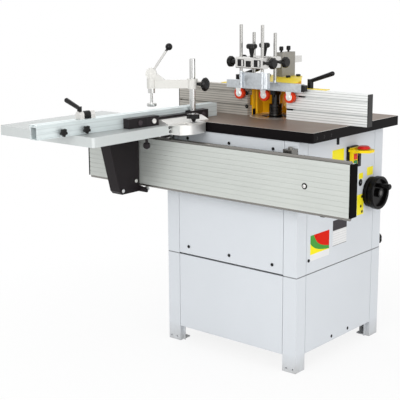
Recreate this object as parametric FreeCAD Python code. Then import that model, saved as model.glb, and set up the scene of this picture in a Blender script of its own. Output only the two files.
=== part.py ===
import FreeCAD, Part
import math
import os

# Spindle moulder with a sliding table. Millimetres, X along the fence, Y to the back, Z up.
# The origin is the middle of the cabinet's footprint on the floor.

V = FreeCAD.Vector
X_AXIS = V(1, 0, 0)
Y_AXIS = V(0, 1, 0)
Z_AXIS = V(0, 0, 1)
FULL_TURN = 360

# Fits, gaps and cuts shared by all pieces
OVERRUN = 2.0
RUN_FIT = 0.05
SEAT_FIT = 0.02
FREE_GAP = 0.4
SLOT_FIT = 0.2
SHEET = 2.0

# Stand and cabinet
CABINET_WIDTH = 600.0
CABINET_DEPTH = 560.0
SEAM_Z = 354.0
PANEL_BOTTOM = 61.0
POST_FACE = 57.0
POST_RETURN = 20.0
POST_LIP = 10.0
PANEL_GAP = 2.0
COVER_GAP = 3.5
FOOT_THICKNESS = 5.0
FOOT_HOLE_RADIUS = 6.0
FOOT_HOLE_INSET = 30.0
LEG_HOLE_RADIUS = 3.0
LEG_HOLE_Z = 14.0
LEG_HOLE_INSETS = (12.0, 40.0)
SCREW_HEAD_RADIUS = 6.0
SCREW_HEAD_HEIGHT = 3.0
SCREW_EDGE = 0.8
COVER_SCREW_SPACING = 195.0
COVER_SCREW_INSET = 32.0
SIDE_SCREW_INSET = 12.0
SIDE_SCREW_Z = 403.0

# Rear door
DOOR_GAP = 0.3
DOOR_MARGIN = 6.0
DOOR_EDGE_INSET = 12.0
DOOR_TRAY_INSET = 72.0
DOOR_TRAY_MARGIN = 18.0
HINGE_INSET = 4.0
HINGE_STANDOFF = 8.0
HINGE_LEVELS = (450.0, 740.0)
KNUCKLE_RADIUS = 6.0
KNUCKLE_LENGTH = 24.0
HINGE_PIN_RADIUS = 3.0
HINGE_LEAF = 18.0
LATCH_INSET = 33.0
LATCH_Z = 377.0
LATCH_RADIUS = 28.0
LATCH_THICKNESS = 20.0
LATCH_NECK_RADIUS = 9.0
LATCH_NECK = 12.0
LATCH_STUD_RADIUS = 4.0
LATCH_STUD_REACH = 10.0
LATCH_HOLE_RADIUS = 9.0

# Main table
TABLE_TOP = 870.0
TABLE_THICKNESS = 35.0
TABLE_SIDE_OVERHANG = 61.0
TABLE_END_OVERHANG = 6.0
TABLE_CORNER = 6.0
TABLE_PLATE = 12.0
TABLE_RIM = 14.0
TABLE_PAD_HALF_WIDTH = 150.0
TABLE_PAD_FRONT = -124.0
TABLE_SIDE_POCKET_HALF = 205.0
TABLE_HOLE_RADIUS = 75.0
INSERT_RADIUS = 98.0
INSERT_DEPTH = 7.0
INSERT_BORE_RADIUS = 52.0
TABLE_STUD_RADIUS = 5.0
TABLE_STUD_LENGTH = 24.0
TABLE_STUD_INSET = 7.0
TABLE_STUD_Y = -119.0

# Spindle, bearings and quill carriage
ARBOR_RADIUS = 15.0
ARBOR_TOP = 972.0
ARBOR_CHAMFER = 1.5
ARBOR_TAIL = 12.0
COLLAR_RADIUS = 33.0
COLLAR_HEIGHT = 18.0
COLLAR_EDGE = 2.0
RING_RADIUS = 25.0
RING_BOTTOM = 868.0
RING_HEIGHT = 12.0
RING_COUNT = 4
RING_EDGE = 0.8
NUT_RADIUS = 23.0
NUT_BOTTOM = 950.0
NUT_HEIGHT = 16.0
NUT_SIDES = 6
BEARING_RADIUS = 31.0
BEARING_HEIGHT = 16.0
BEARING_SHOULDER = 4.0
QUILL_RADIUS = 42.0
QUILL_BORE_RADIUS = 22.0
QUILL_BOTTOM = 660.0
QUILL_TOP = 845.0

# Belt drive
MOTOR_X = -165.0
SPINDLE_PULLEY_RADIUS = 45.0
MOTOR_PULLEY_RADIUS = 70.0
PULLEY_BOTTOM = 600.0
PULLEY_HEIGHT = 45.0
PULLEY_EDGE = 2.0
BELT_THICKNESS = 5.0
BELT_WIDTH = 36.0
BELT_GAP = 0.3
MOTOR_RADIUS = 78.0
MOTOR_LENGTH = 270.0
MOTOR_CAP = 40.0
MOTOR_CAP_STEP = 6.0
MOTOR_SHAFT_RADIUS = 12.0
MOTOR_SHAFT_DEPTH = 60.0
MOTOR_RIB_COUNT = 16
MOTOR_RIB_WIDTH = 4.0
MOTOR_RIB_HEIGHT = 4.0
MOTOR_RIB_MARGIN = 30.0
MOTOR_BOX_WIDTH = 70.0
MOTOR_BOX_DEPTH = 40.0
MOTOR_BOX_HEIGHT = 90.0
MOTOR_PLATE_TOP = 560.0
MOTOR_PLATE_THICKNESS = 12.0
MOTOR_PLATE_EDGE = 85.0
MOTOR_PLATE_END = -15.0
MOTOR_PLATE_HOLE = 30.0
CHEEK_INNER = 75.0
CHEEK_THICKNESS = 8.0
CHEEK_FAR = -60.0
CHEEK_NEAR = -20.0
CHEEK_WEB_BOTTOM = 662.0
CHEEK_WEB_TOP = 700.0

# Lift: guide posts, yoke, screw, bevel gears and hand wheel shaft
GUIDE_X = 80.0
GUIDE_Y = 120.0
GUIDE_RADIUS = 15.0
SLEEVE_RADIUS = 25.0
SLEEVE_BOTTOM = 715.0
SLEEVE_TOP = 800.0
SLEEVE_WEB_BOTTOM = 735.0
SLEEVE_WEB_TOP = 770.0
SLEEVE_WEB_FRONT = 30.0
YOKE_BOTTOM = 632.0
YOKE_THICKNESS = 18.0
YOKE_MARGIN = 30.0
SCREW_X = 110.0
SCREW_RADIUS = 10.0
SCREW_JOURNAL_RADIUS = 8.0
SCREW_NUT_RADIUS = 20.0
SCREW_NUT_BOTTOM = 725.0
SCREW_NUT_TOP = 765.0
SCREW_EAR_HALF = 15.0
GEAR_NEAR = 16.0
GEAR_FAR = 28.0
GEAR_BACKLASH = 0.5
GEAR_TEETH = 14
GEAR_SLOT_WIDTH = 2.5
GEAR_SLOT_DEPTH = 3.0
GEAR_HUB_RADIUS = 14.0
GEAR_HUB_HEIGHT = 10.0
WHEEL_INSET = 80.0
WHEEL_Z = 585.0
WHEEL_SHAFT_RADIUS = 9.0
WHEEL_BEARING_X = 152.0
WHEEL_BEARING_THICKNESS = 16.0
WHEEL_BEARING_HALF = 17.0
FLANGE_RADIUS = 58.0
FLANGE_THICKNESS = 18.0
FLANGE_STEP = 6.0
WHEEL_RADIUS = 63.0
WHEEL_BACK = 22.0
WHEEL_WIDTH = 24.0
WHEEL_RIM = 12.0
WHEEL_WEB = 8.0
WHEEL_HUB_RADIUS = 17.0
WHEEL_EDGE = 3.0
CRANK_RADIUS = 36.0
CRANK_ANGLE = 118.0
CRANK_PIN_RADIUS = 4.0
CRANK_LENGTH = 62.0
CRANK_NEAR_RADIUS = 7.5
CRANK_FAR_RADIUS = 11.0
CRANK_EDGE = 3.0

# Switch box on the right side
SWITCH_Y = 56.0
SWITCH_HALF_WIDTH = 32.0
SWITCH_BOTTOM = 700.0
SWITCH_TOP = 779.0
SWITCH_BASE = 12.0
SWITCH_HOUSING = 13.0
SWITCH_INSET = 3.0
SWITCH_CORNER = 5.0
BUTTON_SIZE = 20.0
BUTTON_Y = 45.0
STOP_Z = 743.0
START_Z = 719.0
BUTTON_RISE = 3.0
BUTTON_DEPTH = 9.0
BUTTON_TRAVEL = 3.0
BUTTON_EDGE = 1.5
FLAP_HINGE_OUT = 7.0
FLAP_HINGE_Z = 765.0
FLAP_THICKNESS = 9.0
FLAP_UNDERSIDE = 3.0
FLAP_ROOT = 9.0
FLAP_SHOULDER = 26.0
FLAP_REACH = 56.0
FLAP_NOSE_HALF = 18.0
FLAP_CORNER = 8.0
FLAP_CHEEK = 5.0
FLAP_CHEEK_REACH = 20.0
FLAP_BARREL_RADIUS = 4.5
FLAP_PIN_RADIUS = 2.0
FLAP_BARREL_HALF = 16.0
LUG_THICKNESS = 7.0
LUG_HALF_HEIGHT = 6.0
MUSHROOM_RADIUS = 23.0
MUSHROOM_OFFSET = 21.0
MUSHROOM_HEIGHT = 12.0
MUSHROOM_NECK_RADIUS = 12.0
MUSHROOM_NECK = 3.0
MUSHROOM_EDGE = 5.0
LOCK_TAB_WIDTH = 14.0
LOCK_TAB_HEIGHT = 20.0
LOCK_TAB_RISE = 3.0
LOCK_TAB_Y = 71.0
LOCK_TAB_Z = 733.0

# Fences and hood
FENCE_FRONT = -57.0
FENCE_THICKNESS = 28.0
FENCE_INNER = 90.0
FENCE_LENGTH = 340.0
FENCE_TOP = 983.0
FENCE_GROOVE_LEVELS = (908.0, 958.0)
FENCE_GROOVE_WIDTH = 6.0
FENCE_GROOVE_DEPTH = 4.0
FENCE_GROOVE_INNER = 12.0
FENCE_BACK_SLOT_WIDTH = 40.0
FENCE_BACK_SLOT_DEPTH = 12.0
FENCE_CAP = 4.0
SLIP = 0.3
HOOD_HALF_WIDTH = 90.0
HOOD_SHOULDER = 36.0
HOOD_BACK = 92.0
HOOD_BACK_HALF_WIDTH = 52.0
HOOD_FRONT_GAP = 0.5
HOOD_SHEET = 2.5
WING_REACH = 240.0
WING_TOP = 985.0
WING_FLANGE = 27.0
HOOD_FOOT_WIDTH = 36.0
HOOD_FOOT_FRONT = -20.0
HOOD_FOOT_LENGTH = 56.0
HOOD_FOOT_THICKNESS = 6.0
DUCT_RADIUS = 37.5
DUCT_WALL = 3.0
DUCT_LENGTH = 45.0
DUCT_Z = 922.0
COVER_HALF_WIDTH = 120.0
COVER_FRONT_HALF_WIDTH = 104.0
COVER_CORNER = 15.0
COVER_SIDE_BACK = -7.0
COVER_BACK = 104.0
COVER_BACK_HALF_WIDTH = 43.0
COVER_EAVE = 2.0
COVER_FRONT = -45.0
COVER_FRONT_TOP = 1003.0
COVER_RIDGE_Y = 10.0
COVER_TOP = 1015.0
COVER_LIP = 10.0
HOOD_BOLT_X = 45.0
HOOD_BOLT_PLACES = (15.0, 80.0)
HOOD_BOLT_RADIUS = 9.0
HOOD_BOLT_HEIGHT = 8.0
HOOD_BOLT_EDGE = 2.0
FOOT_KNOB_RADIUS = 18.0
FOOT_KNOB_HEIGHT = 14.0
FOOT_KNOB_NECK = 14.0
LEVER_X = 165.0
LEVER_Y = -15.0
LEVER_STEM_RADIUS = 11.0
LEVER_STEM = 33.0
LEVER_REACH = 93.0
LEVER_RISE = 32.0
LEVER_ROOT_RADIUS = 7.0
LEVER_TIP_RADIUS = 8.5

# Pressers over the cutter
BRACKET_HALF_WIDTH = 15.0
BRACKET_FRONT = 18.0
BRACKET_BACK = 101.0
BRACKET_TOP = 1105.0
ARM_SIZE = 24.0
ARM_Z = 1075.0
ARM_FRONT = -170.0
ARM_BACK = 150.0
THUMB_PLACES = (32.0, 78.0)
THUMB_RADIUS = 8.0
THUMB_HEIGHT = 16.0
THUMB_NECK_RADIUS = 4.0
THUMB_NECK = 6.0
ROD_RADIUS = 6.0
ROD_X = 48.0
FRONT_ROD_Y = -150.0
REAR_ROD_Y = -73.0
FRONT_ROD_RISE = 116.0
REAR_ROD_RISE = 85.0
ROD_CHAMFER = 1.0
ROD_BLOCK_HALF = 62.0
ROD_BLOCK_HALF_DEPTH = 16.0
ROD_BLOCK_BOTTOM = 1058.0
ROD_BLOCK_TOP = 1098.0
ROD_BLOCK_EDGE = 3.0
STAR_RADIUS = 20.0
STAR_HEIGHT = 18.0
STAR_NECK_RADIUS = 8.0
STAR_NECK = 30.0
SIDE_STAR_NECK = 24.0
SIDE_STAR_Z = 1079.0
STAR_LOBES = 5
STAR_CORE_SHARE = 0.72
STAR_LOBE_SHARE = 0.34
STAR_ROOT_SHARE = 0.6
STAR_FLARE_SHARE = 1.35
KNOB_SCALLOPS = 7
KNOB_EDGE_SHARE = 0.22
KNOB_SCALLOP_SHARE = 0.32
KNOB_SCALLOP_OUT_SHARE = 0.2
SHOE_FRONT = -145.0
SHOE_BACK = -117.0
SHOE_HALF_WIDTH = 60.0
SHOE_BOTTOM = 986.0
SHOE_TOP = 1042.0
SHOE_CORNER = 14.0
SHOE_SCREW_RADIUS = 3.5
SHOE_SCREW_HEIGHT = 2.5
SHOE_SCREW_LEVELS = (1000.0, 1028.0)
CHANNEL_HALF = 170.0
CHANNEL_FRONT = -82.0
CHANNEL_BACK = -60.0
CHANNEL_BOTTOM = 975.0
CHANNEL_TOP = 1004.0
ROLLER_SPACING = 115.0
ROLLER_RADIUS = 22.0
ROLLER_WIDTH = 15.0
ROLLER_Z = 955.0
ROLLER_EDGE = 1.5
ROLLER_HUB_RADIUS = 13.0
ROLLER_HUB_RISE = 1.0
AXLE_RADIUS = 4.0
AXLE_HEAD_RADIUS = 7.0
AXLE_HEAD = 3.0
TAB_HALF = 12.0
TAB_TIP_HALF = 7.0
TAB_DROP = 9.0

# Front rail with guide bars
RAIL_LEFT = -645.0
RAIL_RIGHT = 550.0
RAIL_STANDOFF = 37.0
RAIL_DEPTH = 38.0
RAIL_BOTTOM = 620.0
RAIL_TOP = 795.0
RAIL_WALL = 4.0
RAIL_CHAMBERS = 3
RAIL_GROOVES = 9
RAIL_GROOVE_WIDTH = 3.0
RAIL_GROOVE_DEPTH = 1.2
RAIL_BAR_RADIUS = 7.0
RAIL_BAR_INSET = 11.0
RAIL_BAR_RISE = 3.5
RAIL_CAP = 6.0
BRACKET_OUTER_INSET = 2.0
BRACKET_WIDTH = 36.0
BRACKET_FOOT_Z = 650.0
BRACKET_HEAD_Z = 812.0
BRACKET_WALL = 4.0
ADJUSTER_HEAD_RADIUS = 9.0
ADJUSTER_HEAD = 7.0
RAIL_BOLT_X = 378.0
RAIL_BOLT_Z = 705.0
RAIL_BOLT_RADIUS = 8.0
RAIL_BOLT_RISE = 2.0
STOP_X = 435.0
STOP_SIZE = 16.0

# Sliding table and its carriage
SLIDE_LEFT = -630.0
SLIDE_RIGHT = -150.0
SLIDE_GAP = 10.0
SLIDE_DEPTH = 507.0
SLIDE_THICKNESS = 34.0
SLIDE_PLATE = 8.0
SLIDE_RIM = 9.0
SLIDE_CORNER = 10.0
SLIDE_BAND = 80.0
SUPPORT_LEFT = -420.0
SUPPORT_RIGHT = -370.0
SUPPORT_RIB_MARGIN = 15.0
SUPPORT_GAP = 7.0
SUPPORT_TOP_DEPTH = 164.0
SUPPORT_BOTTOM_DEPTH = 104.0
SUPPORT_BOTTOM = 592.0
SUPPORT_CHIN = 12.0
SUPPORT_SHEET = 4.0
HOLDER_RIGHT = -330.0
HOLDER_GAP = 2.0
HOLDER_TOP_RISE = 22.0
UPPER_ROLLER_PLACES = (-560.0, -230.0)
LOWER_ROLLER_PLACES = (-398.0, -350.0)
UPPER_ROLLER_RADIUS = 13.0
LOWER_ROLLER_RADIUS = 9.0
GUIDE_ROLLER_WIDTH = 14.0
GUIDE_AXLE_RADIUS = 4.0
ROLLER_BRACKET_HALF = 26.0
ROLLER_BRACKET_DROP = 26.0
ROLLER_BRACKET_TIP = 9.0
CARRIAGE_BOLT_RADIUS = 7.0
CARRIAGE_BOLT_RISE = 4.0
SIDE_BOLTS = ((18.0, 634.0), (88.0, 606.0))
BALL_X = -178.0
BALL_INSET = 283.0
BALL_RADIUS = 13.0
BALL_STUD_RADIUS = 5.0
BALL_DROP = 30.0

# Mitre fence, set a little off square about its pivot
PIVOT_X = -187.0
PIVOT_INSET = 57.0
MITRE_SET_ANGLE = -4.8
PIVOT_RADIUS = 8.0
PIVOT_DEPTH = 25.0
SWIVEL_GAP = 0.4
BASE_RADIUS = 107.0
BASE_FRONT_REACH = 71.0
BASE_BACK_REACH = 61.0
BASE_PLATE = 10.0
BASE_SKIRT = 8.0
LOCK_RADIUS = 78.0
LOCK_ANGLE = 10.0
LOCK_SLOT_BACK = 35.0
LOCK_SLOT_FRONT = 50.0
LOCK_STUD_RADIUS = 5.0
LOCK_NUT_RADIUS = 7.0
LOCK_NUT_HEIGHT = 5.0
LOCK_NECK = 12.0
LOCK_KNOB_RADIUS = 26.0
LOCK_KNOB_HEIGHT = 16.0
LOCK_LOBES = 3
HEAD_HALF_LENGTH = 101.0
HEAD_TOP = 890.0
HEAD_FOOT = 6.0
HEAD_RIDGE = 12.0
HEAD_FALL_WIDTH = 36.0
HEAD_TONGUE_REACH = 100.0
HEAD_TONGUE_HALF = 34.0
CARRIER_LEFT = -198.0
CARRIER_RIGHT = -170.0
CARRIER_FRONT_REACH = 241.0
CARRIER_BACK_REACH = 148.0
CARRIER_TOP = 905.0
CARRIER_WAIST = 6.0
CARRIER_FRONT_BLOCK = 142.0
CARRIER_BACK_BLOCK = 90.0
CARRIER_BOLT_FAR_REACH = 190.0
CARRIER_BOLT_NEAR_REACH = 125.0
CARRIER_BOLT_BACK_REACH = 121.0
CARRIER_BOLT_RADIUS = 9.0
CARRIER_BOLT_RISE = 5.0
MITRE_FENCE_WIDTH = 38.0
MITRE_FENCE_FRONT_REACH = 606.0
MITRE_FENCE_BACK_REACH = 223.0
MITRE_FENCE_TOP = 919.0
MITRE_FENCE_WALL = 3.0
MITRE_SLOT_WIDTH = 8.0
MITRE_SLOT_DEPTH = 5.0
MITRE_GROOVE_LEVELS = (875.0, 893.0, 913.0)
MITRE_GROOVE_WIDTH = 3.0
MITRE_GROOVE_DEPTH = 1.5
WING_KNOB_FAR_REACH = 508.0
WING_KNOB_NEAR_REACH = 412.0
WING_KNOB_Z = 887.0
WING_KNOB_RADIUS = 14.0
WING_KNOB_HEIGHT = 8.0
WING_KNOB_NECK = 9.0
WING_KNOB_NECK_RADIUS = 6.0
STOP_REACH = 391.0
STOP_BODY_HALF = 14.0
STOP_BARREL = 18.0
STOP_BARREL_RADIUS = 13.0
STOP_SHAFT_RADIUS = 6.0
STOP_AXIS_RISE = 14.0
STOP_FINGER_DROP = 34.0
STOP_FINGER_THICKNESS = 6.0
STOP_LEVER_STEM = 16.0
STOP_LEVER_REACH = 68.0
STOP_LEVER_RISE = 22.0
STOP_LEVER_STEM_RADIUS = 8.0

# Hold-down clamp on the carrier
COLUMN_REACH = 81.0
COLUMN_RADIUS = 11.0
COLUMN_SEAT = 20.0
COLUMN_TOP = 1094.0
COLUMN_CHAMFER = 2.0
CLAMP_ANGLE = 225.2
CLAMP_BOTTOM = 984.0
CLAMP_TOP = 1020.0
CLAMP_BOSS_RADIUS = 19.0
CLAMP_REACH = 150.0
CLAMP_HEAD_RADIUS = 16.0
CLAMP_HEAD_BOTTOM = 986.0
CLAMP_EYE_RADIUS = 20.0
CLAMP_EYE_HALF = 13.0
CLAMP_GUSSET = 30.0
CLAMP_BEAM_HALF = 10.0
CLAMP_BEAM_TIP_HALF = 7.0
CLAMP_EDGE = 3.0
CLAMP_FORK_HALF = 6.5
CLAMP_FORK_BOTTOM = 1024.0
CAM_Z = 1040.0
CAM_RADIUS = 12.0
CAM_HALF = 6.0
CAM_PIN_RADIUS = 4.0
CLAMP_LEVER_BACK = 66.0
CLAMP_LEVER_UP = 96.0
CLAMP_LEVER_RADIUS = 4.5
CLAMP_BALL_RADIUS = 13.0
PLUNGER_RADIUS = 7.0
PLUNGER_TOP = 1027.0
PLUNGER_COLLAR_RADIUS = 13.0
PLUNGER_COLLAR = 16.0
PLUNGER_STEM_RADIUS = 5.0
PAD_RADIUS = 18.0
PAD_BOTTOM = 921.0
PAD_HEIGHT = 12.0
PAD_EDGE = 2.0
CLAMP_KNOB_RADIUS = 25.0
CLAMP_KNOB_HEIGHT = 16.0
CLAMP_KNOB_NECK = 26.0
CLAMP_KNOB_ANGLE = -30.0

# Places worked out from the driving sizes
HALF_WIDTH = CABINET_WIDTH / 2
HALF_DEPTH = CABINET_DEPTH / 2
TABLE_WIDTH = CABINET_WIDTH + 2 * TABLE_SIDE_OVERHANG
TABLE_DEPTH = CABINET_DEPTH + 2 * TABLE_END_OVERHANG
POST_X = HALF_WIDTH - POST_FACE
POST_Y = HALF_DEPTH - POST_FACE
PANEL_X = POST_X - PANEL_GAP
PANEL_Y = POST_Y - PANEL_GAP
PANEL_DEPTH = POST_RETURN - SHEET
TABLE_BOTTOM = TABLE_TOP - TABLE_THICKNESS
CABINET_TOP = TABLE_BOTTOM - PANEL_GAP
HINGE_X = HINGE_INSET - HALF_WIDTH
HINGE_Y = HALF_DEPTH + HINGE_STANDOFF
DOOR_FACE = HALF_DEPTH + DOOR_GAP
DOOR_OUT = DOOR_FACE + SHEET
DOOR_EDGE_X = HALF_WIDTH - DOOR_EDGE_INSET
DOOR_LEFT = -DOOR_EDGE_X
LATCH_X = HALF_WIDTH - LATCH_INSET
WHEEL_Y = HALF_DEPTH - WHEEL_INSET
DOOR_BOTTOM = SEAM_Z + DOOR_MARGIN
DOOR_TOP = TABLE_BOTTOM - DOOR_MARGIN
SPINDLE_TAIL = PULLEY_BOTTOM - ARBOR_TAIL
PULLEY_TOP = PULLEY_BOTTOM + PULLEY_HEIGHT
MOTOR_TOP = MOTOR_PLATE_TOP - MOTOR_PLATE_THICKNESS
SWITCH_FACE = HALF_WIDTH + SWITCH_BASE + SWITCH_HOUSING
FLAP_HINGE_X = SWITCH_FACE + FLAP_HINGE_OUT
FRONT_ROD_TOP = ROD_BLOCK_TOP + FRONT_ROD_RISE
REAR_ROD_TOP = ROD_BLOCK_TOP + REAR_ROD_RISE
FENCE_BACK = FENCE_FRONT + FENCE_THICKNESS
FENCE_BOTTOM = TABLE_TOP + SLIP
WING_FRONT = FENCE_BACK + HOOD_FRONT_GAP
BRACKET_FOOT = COVER_TOP
RAIL_BACK = -HALF_DEPTH - RAIL_STANDOFF
RAIL_FRONT = RAIL_BACK - RAIL_DEPTH
BAR_Y = RAIL_FRONT + RAIL_BAR_INSET
UPPER_BAR_Z = RAIL_TOP + RAIL_BAR_RISE
LOWER_BAR_Z = RAIL_BOTTOM - RAIL_BAR_RISE
SLIDE_BOTTOM = TABLE_TOP - SLIDE_THICKNESS
SLIDE_BACK = -TABLE_DEPTH / 2 - SLIDE_GAP
SLIDE_FRONT = SLIDE_BACK - SLIDE_DEPTH
SUPPORT_BACK = RAIL_FRONT - SUPPORT_GAP
SUPPORT_FRONT_TOP = SUPPORT_BACK - SUPPORT_TOP_DEPTH
SUPPORT_FRONT_BOTTOM = SUPPORT_BACK - SUPPORT_BOTTOM_DEPTH
BALL_Y = SLIDE_FRONT + BALL_INSET
PIVOT_Y = SLIDE_BACK - PIVOT_INSET
BASE_FRONT = PIVOT_Y - BASE_FRONT_REACH
BASE_BACK = PIVOT_Y + BASE_BACK_REACH
HEAD_FRONT = PIVOT_Y - HEAD_HALF_LENGTH
HEAD_BACK = PIVOT_Y + HEAD_HALF_LENGTH
CARRIER_FRONT = PIVOT_Y - CARRIER_FRONT_REACH
CARRIER_BACK = PIVOT_Y + CARRIER_BACK_REACH
MITRE_FENCE_FRONT = PIVOT_Y - MITRE_FENCE_FRONT_REACH
MITRE_FENCE_BACK = PIVOT_Y + MITRE_FENCE_BACK_REACH
STOP_Y = PIVOT_Y - STOP_REACH
COLUMN_Y = PIVOT_Y + COLUMN_REACH
SWIVEL_Z = TABLE_TOP + SWIVEL_GAP
COLUMN_X = (CARRIER_LEFT + CARRIER_RIGHT) / 2
MITRE_FENCE_LEFT = CARRIER_LEFT - MITRE_FENCE_WIDTH
STOP_AXIS_X = CARRIER_LEFT - MITRE_FENCE_WIDTH / 2
STOP_AXIS_Z = MITRE_FENCE_TOP + STOP_AXIS_RISE


# Shared shapes

def block(x0, x1, y0, y1, z0, z1):
    """Box between two corners."""
    return Part.makeBox(x1 - x0, y1 - y0, z1 - z0, V(x0, y0, z0))


def rod(axis, radius, start, end, u, v):
    """Round bar along one axis; u and v are its place on the other two."""
    bases = {"x": V(start, u, v), "y": V(u, start, v), "z": V(u, v, start)}
    ways = {"x": X_AXIS, "y": Y_AXIS, "z": Z_AXIS}
    return Part.makeCylinder(radius, end - start, bases[axis], ways[axis])


def tube(axis, outer, inner, start, end, u, v):
    """Round bar with a through bore."""
    bore = rod(axis, inner, start - OVERRUN, end + OVERRUN, u, v)
    return rod(axis, outer, start, end, u, v).cut(bore)


def prism(axis, points, start, end):
    """Straight-sided outline pushed along one axis."""
    corners = {
        "x": [V(start, u, v) for u, v in points],
        "y": [V(u, start, v) for u, v in points],
        "z": [V(u, v, start) for u, v in points],
    }[axis]
    ways = {"x": X_AXIS, "y": Y_AXIS, "z": Z_AXIS}
    face = Part.Face(Part.makePolygon(corners + corners[:1]))
    return face.extrude(ways[axis] * (end - start))


def aim(shape, base, way):
    """Shape built along Z, moved so that its Z runs along way from base."""
    turn = FreeCAD.Rotation(Z_AXIS, way)
    shape.Placement = FreeCAD.Placement(base, turn).multiply(shape.Placement)
    return shape


def lathe(profile, base=V(0, 0, 0), way=Z_AXIS):
    """Turned solid from (radius, height) points, aimed along way."""
    corners = [V(radius, 0, height) for radius, height in profile]
    face = Part.Face(Part.makePolygon(corners + corners[:1]))
    return aim(face.revolve(V(0, 0, 0), Z_AXIS, FULL_TURN), base, way)


def disc(radius, height, edge, base, way):
    """Round disc with both rims chamfered."""
    profile = [
        (0, 0),
        (radius - edge, 0),
        (radius, edge),
        (radius, height - edge),
        (radius - edge, height),
        (0, height),
    ]
    return lathe(profile, base, way)


def fused(pieces):
    """One solid from overlapping shapes."""
    return pieces[0].multiFuse(pieces[1:]).removeSplitter()


def cut_all(shape, tools):
    """Shape with every tool cut out of it."""
    for tool in tools:
        shape = shape.cut(tool)
    return shape


def mirrored(shape, way):
    """Copy mirrored through the origin plane square to way."""
    return shape.mirror(V(0, 0, 0), way)


def hexagon(radius, base, height):
    """Hexagonal prism standing on base."""
    step = FULL_TURN / NUT_SIDES
    points = []
    for side in range(NUT_SIDES):
        angle = math.radians(side * step)
        points.append((base.x + radius * math.cos(angle), base.y + radius * math.sin(angle)))
    return prism("z", points, base.z, base.z + height)


def star_knob(base, way, radius, height, neck_radius, neck, lobes=STAR_LOBES):
    """Lobed hand knob on a neck, standing on base and pointing along way."""
    core = Part.makeCylinder(radius * STAR_CORE_SHARE, height, V(0, 0, neck))
    flare = Part.makeCone(neck_radius * STAR_ROOT_SHARE, neck_radius * STAR_FLARE_SHARE, neck)
    pieces = [core, flare]
    lobe_radius = radius * STAR_LOBE_SHARE
    for lobe in range(lobes):
        angle = math.radians(lobe * FULL_TURN / lobes)
        reach = radius - lobe_radius
        place = V(reach * math.cos(angle), reach * math.sin(angle), neck)
        pieces.append(Part.makeCylinder(lobe_radius, height, place))
    return aim(fused(pieces), base, way)


def round_knob(base, way, radius, height, neck_radius, neck):
    """Round hand knob with a scalloped rim on a flared neck, standing on base and pointing along way."""
    edge = radius * KNOB_EDGE_SHARE
    knob = lathe([
        (0, 0),
        (neck_radius * STAR_ROOT_SHARE, 0),
        (neck_radius * STAR_FLARE_SHARE, neck),
        (radius - edge, neck),
        (radius, neck + edge),
        (radius, neck + height - edge),
        (radius - edge, neck + height),
        (0, neck + height),
    ])
    scallop = radius * KNOB_SCALLOP_SHARE
    reach = radius * (1 + KNOB_SCALLOP_OUT_SHARE)
    for index in range(KNOB_SCALLOPS):
        angle = math.radians(index * FULL_TURN / KNOB_SCALLOPS)
        knob = knob.cut(rod("z", scallop, neck - OVERRUN, neck + height + OVERRUN, reach * math.cos(angle),
                            reach * math.sin(angle)))
    return aim(knob, base, way)


def hand_lever(base, stem, stem_radius, reach, rise):
    """Clamp lever: upright stem and an arm that climbs along +X to a round tip."""
    root = base + Z_AXIS * (stem - LEVER_ROOT_RADIUS)
    span = X_AXIS * reach + Z_AXIS * rise
    arm = Part.makeCone(LEVER_ROOT_RADIUS, LEVER_TIP_RADIUS, span.Length)
    arm = fused([arm, Part.makeSphere(LEVER_TIP_RADIUS, Z_AXIS * span.Length)])
    post = Part.makeCylinder(stem_radius, stem, base)
    return fused([post, aim(arm, root, span)])


# Stand and cabinet

def post_tier(z0, z1):
    """Folded corner post at +X +Y, between two heights."""
    w = HALF_WIDTH
    d = HALF_DEPTH
    lip_x = w - POST_RETURN
    lip_y = d - POST_RETURN
    return fused([
        block(POST_X, w, d - SHEET, d, z0, z1),
        block(w - SHEET, w, POST_Y, d, z0, z1),
        block(POST_X, POST_X + SHEET, lip_y, d, z0, z1),
        block(lip_x, w, POST_Y, POST_Y + SHEET, z0, z1),
        block(POST_X - POST_LIP, POST_X + SHEET, lip_y, lip_y + SHEET, z0, z1),
        block(lip_x, lip_x + SHEET, POST_Y - POST_LIP, POST_Y + SHEET, z0, z1),
    ])


def leg():
    """Stand leg at +X +Y with its foot plate and the plate that carries the upper tier."""
    top = SEAM_Z - PANEL_GAP
    foot = block(POST_X, HALF_WIDTH, POST_Y, HALF_DEPTH, 0, FOOT_THICKNESS)
    hole_x = HALF_WIDTH - FOOT_HOLE_INSET
    hole_y = HALF_DEPTH - FOOT_HOLE_INSET
    hole = rod("z", FOOT_HOLE_RADIUS, -OVERRUN, FOOT_THICKNESS + OVERRUN, hole_x, hole_y)
    cap = block(POST_X + SHEET, HALF_WIDTH - SHEET, POST_Y + SHEET, HALF_DEPTH - SHEET, top - SHEET, SEAM_Z)
    return fused([post_tier(0, top), foot, cap]).cut(hole)


def front_leg():
    """Front leg with the two small holes low on its face."""
    shape = mirrored(leg(), Y_AXIS)
    for inset in LEG_HOLE_INSETS:
        x = HALF_WIDTH - inset
        shape = shape.cut(rod("y", LEG_HOLE_RADIUS, -HALF_DEPTH - OVERRUN, OVERRUN - HALF_DEPTH + SHEET, x,
                              LEG_HOLE_Z))
    return shape


def fixed_knuckles(level):
    """Lower knuckle with the hinge pin, and upper knuckle, on the rear left post."""
    half = KNUCKLE_LENGTH / 2
    low = level - half - FREE_GAP
    high = level + half + FREE_GAP
    pair = []
    for z0 in (low - KNUCKLE_LENGTH, high):
        z1 = z0 + KNUCKLE_LENGTH
        pad = block(HINGE_X - HINGE_INSET, HINGE_X + HINGE_INSET, HALF_DEPTH, HINGE_Y, z0, z1)
        pair.append(fused([pad, rod("z", KNUCKLE_RADIUS, z0, z1, HINGE_X, HINGE_Y)]))
    pin = rod("z", HINGE_PIN_RADIUS, low - half, level + half, HINGE_X, HINGE_Y)
    return [fused([pair[0], pin]), pair[1]]


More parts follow.
